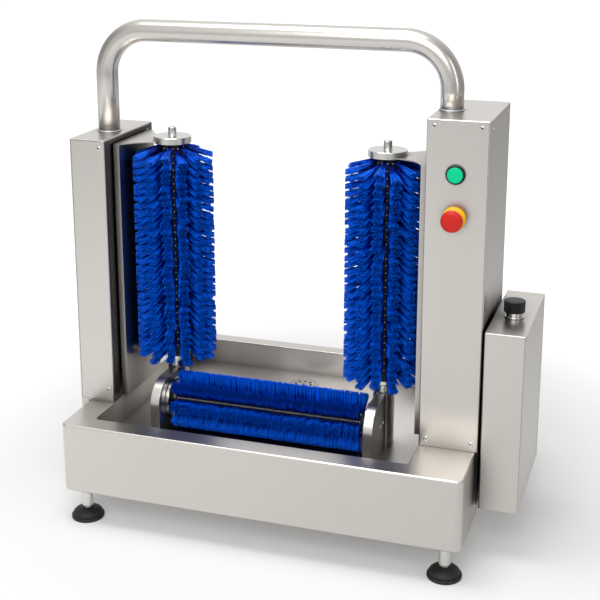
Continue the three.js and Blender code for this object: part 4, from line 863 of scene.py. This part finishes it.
def make_screws():
    """Cover screws. Heights are counted from the rim, in mm, and places from the corner of each cover."""
    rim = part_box("base_frame")[1].z
    left_low, left_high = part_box("left_column_cover")
    right_low, right_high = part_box("right_column_front_cover")
    side_low, side_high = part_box("right_column_side_cover")
    tank_low, tank_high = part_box("tank_side_cover")
    front_y = left_low.y
    places = [
        ("left_front_upper", (left_high.x - 11 * MM, front_y, rim + 464 * MM), "FRONT"),
        ("left_front_lower", (left_high.x - 11 * MM, front_y, rim + 24 * MM), "FRONT"),
        ("left_side_upper", (left_high.x, left_high.y - 8 * MM, rim + 464 * MM), "RIGHT"),
        ("left_side_lower", (left_high.x, left_high.y - 8 * MM, rim + 24 * MM), "RIGHT"),
    ]
    for height, level in ((537, "upper"), (13, "lower")):
        for inset, edge in ((12.5, "left"), (right_high.x / MM - right_low.x / MM - 11, "right")):
            place = (right_low.x + inset * MM, right_low.y, rim + height * MM)
            places.append((f"front_{level}_{edge}", place, "FRONT"))
    for inset, edge in ((26, "front"), (183, "back")):
        places.append((f"side_upper_{edge}", (side_high.x, side_low.y + inset * MM, rim + 533 * MM), "RIGHT"))
        places.append((f"side_lower_{edge}", (side_high.x, side_low.y + inset * MM, rim - 80 * MM), "RIGHT"))
    for inset, height, spot in (
            (15, 198, "front_top"), (218, 190, "back_top"), (214, -80, "back_bottom"),
            (15, -72, "front_bottom"), (110, 198, "middle_top"), (110, -84, "middle_bottom")):
        place = (tank_high.x - SCREW_HEAD * MM, tank_low.y + inset * MM, rim + height * MM)
        places.append((f"tank_{spot}", place, "RIGHT"))
    for name, place, face in places:
        add_screw(f"{name}_screw", place, SCREW_TURNS[face])


def make_buttons():
    """Start button and emergency stop, turned from (radius, height) pairs in mm above the front cover."""
    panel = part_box("right_column_front_cover")[0].y - SEAM * MM
    start = mid("start_button_bezel")
    stop = mid("stop_collar")
    start_place = (start.x, panel, start.z)
    stop_place = (stop.x, panel, stop.z)
    bezel = [(13, -2), (15.2, -0.2), (15.5, 0.2), (15.5, 2.6), (15.3, 3.4), (14.7, 4.4), (14.1, 4.9),
             (13.5, 5), (13.0, 4.6), (12.9, 1), (6, 1), (6, -2)]
    add_piece("start_bezel", spun(closed(bezel), start_place, "FRONT"), black_plastic, "start_button_bezel")
    cap = [(0, 4.3), (12.5, 4.3), (12.5, 6.0), (12.3, 6.5), (11.8, 6.85), (10.8, 7), (0, 7)]
    add_piece("start_cap", spun(cap, start_place, "FRONT"), green_plastic, "start_button_cap")
    collar = [(7.4, -1), (18.7, -0.1), (19, 0.3), (19, 2.6), (18.6, 3.4), (16.6, 5.6), (14, 7.6), (11.4, 8.8),
              (10.4, 9), (7.4, 9)]
    add_piece("stop_yellow_collar", spun(closed(collar), stop_place, "FRONT"), yellow_plastic, "stop_collar")
    head = [(7.4, 13.3), (14.6, 13.3), (15.6, 13.9), (17.0, 17.0), (17.45, 18.4), (17.5, 20.0), (17.45, 22.6),
            (17.1, 24.2), (16.2, 25.8), (14.8, 26.9), (13, 27.6), (10, 28.1), (5, 28.3), (0, 28.3), (0, 21),
            (7.4, 21), (7.4, 13.3)]
    add_piece("stop_red_head", spun(head, stop_place, "FRONT"), red_plastic, "stop_head")


def make_tank_cap():
    """The fluted cap and the filler neck below it."""
    low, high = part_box("tank_cap")
    centre = (low + high) / 2
    bm = bmesh.new()
    made = bmesh.ops.create_cone(bm, cap_ends=True, segments=4 * CAP_FLUTES, radius1=CAP_RADIUS * MM,
                                 radius2=CAP_RADIUS * MM, depth=high.z - low.z)
    bmesh.ops.translate(bm, vec=centre, verts=made["verts"])
    for vert in bm.verts:
        offset = Vector((vert.co.x - centre.x, vert.co.y - centre.y, 0))
        if round(math.atan2(offset.y, offset.x) / (2 * math.pi) * 4 * CAP_FLUTES) % 4 == 0:
            vert.co -= offset.normalized() * FLUTE_DEPTH * MM
    rim = [edge for edge in bm.edges if edge.calc_face_angle(0) > FOLD_ANGLE]
    bevel(bm, rim, 1.0, 3)
    add_piece("tank_screw_cap", bm, black_plastic, "tank_cap")
    neck_low, neck_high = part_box("filler_neck")
    top = (neck_high.z - neck_low.z) / MM
    tank_top = (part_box("tank_body")[1].z - neck_low.z) / MM
    neck = [(11.5, 0), (13.5, 0), (13.5, tank_top + 0.3), (15.5, tank_top + 0.3), (15.5, tank_top + 2.1),
            (15.2, tank_top + 2.4), (13.5, tank_top + 2.4), (13.5, top - 0.4), (13.1, top), (11.5, top)]
    add_piece("neck", spun(closed(neck), (centre.x, centre.y, neck_low.z)), steel_turned, "filler_neck")


# Bristles
def tuft_mesh(kind, brush):
    """One tuft along +X from the core: thin three-sided filaments that fan out, cut to the brush's reach."""
    rng = random.Random(100 + kind)
    bm = bmesh.new()
    thick = FILAMENT * MM
    for _ in range(brush["filaments"]):
        turn = rng.uniform(0, 2 * math.pi)
        out = math.sqrt(rng.random())
        side, rise = out * math.cos(turn), out * math.sin(turn)
        start = Vector((0, side * brush["root"], rise * min(brush["root"], brush["along"])))
        across = side * brush["across"] + rng.gauss(0, 0.9)
        along = rise * brush["along"] + rng.gauss(0, 0.35)
        trim = math.sqrt(brush["reach"] ** 2 - across ** 2) * (1 - 0.05 * rng.random() ** 2)
        end = Vector((trim - brush["core"], across, along - brush["droop"]))
        reach = (end - start) * MM
        made = bmesh.ops.create_cone(bm, cap_ends=False, segments=3, radius1=thick, radius2=thick * 0.85,
                                     depth=reach.length)
        place = Matrix.Translation((start + end) / 2 * MM)
        lean = reach.to_track_quat("Z", "Y").to_matrix().to_4x4()
        spin = Matrix.Rotation(rng.uniform(0, math.pi), 4, "Z")
        bmesh.ops.transform(bm, matrix=place @ lean @ spin, verts=made["verts"])
    mesh = bpy.data.meshes.new(f"tuft_{kind}")
    bm.to_mesh(mesh)
    bm.free()
    return mesh


def brush_frame(node, brush):
    """Where a brush starts, how its axis lies, its length in metres and the pitch of its tufts."""
    low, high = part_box(node)
    centre = (low + high) / 2
    along_x = high.x - low.x > high.z - low.z
    length = (high.x - low.x) if along_x else (high.z - low.z)
    start = (low.x, centre.y, centre.z) if along_x else (centre.x, centre.y, low.z)
    turn = Matrix.Rotation(math.pi / 2, 4, "Y") if along_x else Matrix.Identity(4)
    edge = brush["root"] * MM
    lowest = edge + brush["droop"] * MM
    pitch = (length - edge - lowest) / (brush["tufts"] - 0.5)
    return Matrix.Translation(start) @ turn, length, pitch, lowest


def on_core(rise, angle, core, lean):
    """A place on a brush core: its height in metres, the angle round it, the core in mm, and its lean."""
    return (Matrix.Translation((0, 0, rise)) @ Matrix.Rotation(angle, 4, "Z")
            @ Matrix.Translation((core * MM, 0, 0)) @ Matrix.Rotation(lean, 4, "Y"))


def grow_bristles(name, node, brush, first_turn, material):
    """The tufts of a brush in two pieces, its even and its odd columns, half a pitch apart along the core."""
    base, length, pitch, lowest = brush_frame(node, brush)
    tufts = [tuft_mesh(kind, brush) for kind in range(TUFT_KINDS)]
    for half in (0, 1):
        rng = random.Random(len(name) + half)
        bm = bmesh.new()
        for column in range(half, brush["columns"], 2):
            angle = first_turn + column / brush["columns"] * 2 * math.pi
            for i in range(brush["tufts"]):
                rise = lowest + (i + half / 2) * pitch
                lean = rng.gauss(0, 0.03)
                if not brush["droop"]:
                    end = 2 * rise / length - 1
                    lean -= math.copysign(math.radians(END_FLARE) * abs(end) ** 24, end)
                place = on_core(rise, angle + rng.gauss(0, 0.025), brush["core"], lean)
                mesh = rng.choice(tufts)
                mesh.transform(place)
                bm.from_mesh(mesh)
                mesh.transform(place.inverted())
        # A leaning tuft is trimmed too, so that it turns clear of the guard channel
        for vert in bm.verts:
            over = math.hypot(vert.co.x, vert.co.y) / (brush["reach"] * MM)
            if over > 1:
                vert.co.x /= over
                vert.co.y /= over
        bmesh.ops.transform(bm, matrix=base, verts=bm.verts)
        if half:
            add_piece(f"{name}_odd", bm, material, body=nodes[node]["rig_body"])
        else:
            add_piece(f"{name}_even", bm, material, node)
    for mesh in tufts:
        bpy.data.meshes.remove(mesh)


def make_core(name, node, brush, first_turn):
    """The dark core that holds the roots, and the row of pale roots in each parting."""
    base, length, pitch, lowest = brush_frame(node, brush)
    end = length / MM
    core = brush["core"]
    bm = spun(closed(rounded([(8.3, 0), (core, 0), (core, end), (8.3, end)], 0.5)), (0, 0, 0), steps=48)
    bmesh.ops.transform(bm, matrix=base, verts=bm.verts)
    body = nodes[node]["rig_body"]
    add_piece(f"{name}_core", bm, core_plastic, body=body)
    dots = bmesh.new()
    for column in range(brush["columns"]):
        angle = first_turn + (column + 0.5) / brush["columns"] * 2 * math.pi
        for i in range(brush["tufts"]):
            place = on_core(lowest + (i + 0.25) * pitch, angle, core, math.pi / 2)
            made = bmesh.ops.create_cone(dots, cap_ends=True, segments=6, radius1=1.1 * MM, radius2=0.9 * MM,
                                         depth=2.4 * MM)
            bmesh.ops.transform(dots, matrix=place, verts=made["verts"])
    bmesh.ops.transform(dots, matrix=base, verts=dots.verts)
    add_piece(f"{name}_roots", dots, root_plastic, body=body)


def make_brushes():
    """Both side brushes and the sole brush. A parting lies half a column beside the first column."""
    for side, parting in PARTINGS.items():
        node = f"{side}_brush_bristles"
        material = make_bristle(f"bristle_{side}", mid(node), False, SIDE_BRUSH)
        turn = parting + math.pi / SIDE_BRUSH["columns"]
        grow_bristles(f"{side}_bristles", node, SIDE_BRUSH, turn, material)
        make_core(f"{side}_brush", node, SIDE_BRUSH, turn)
    node = "sole_brush_bristles"
    material = make_bristle("bristle_sole", mid(node), True, SOLE_BRUSH)
    grow_bristles("sole_bristles", node, SOLE_BRUSH, SOLE_TURN, material)
    make_core("sole_brush", node, SOLE_BRUSH, SOLE_TURN)


def finish_hidden_nodes():
    """Procedural finishes for the CAD pieces that stay as they are."""
    looks = {
        "left_brush_pulley": cast_metal, "right_brush_pulley": cast_metal, "motor_pulley": cast_metal,
        "motor_belt": rubber, "brush_belt": rubber, "sole_brush_axle": steel_polished,
        "sole_screw_gear": steel_polished, "right_screw_gear": steel_polished, "gearbox": cast_metal,
        "motor_output_shaft": steel_polished, "motor": cast_metal, "relay_box": grey_plastic,
        "stop_plunger": black_plastic, "start_contact_block": black_plastic,
        "stop_contact_block": black_plastic, "tank_cap_seal": rubber, "detergent_canister": grey_plastic,
        "dosing_pump": black_plastic,
    }
    for node, material in looks.items():
        mesh = nodes[node].data
        mesh.materials.clear()
        mesh.materials.append(material)


add_camera()
add_lights()
add_world()
add_floor()
make_base()
make_feet()
make_cabinets()
make_handle()
make_bearings_and_shafts()
make_stands()
make_screws()
make_buttons()
make_tank_cap()
make_brushes()
finish_hidden_nodes()
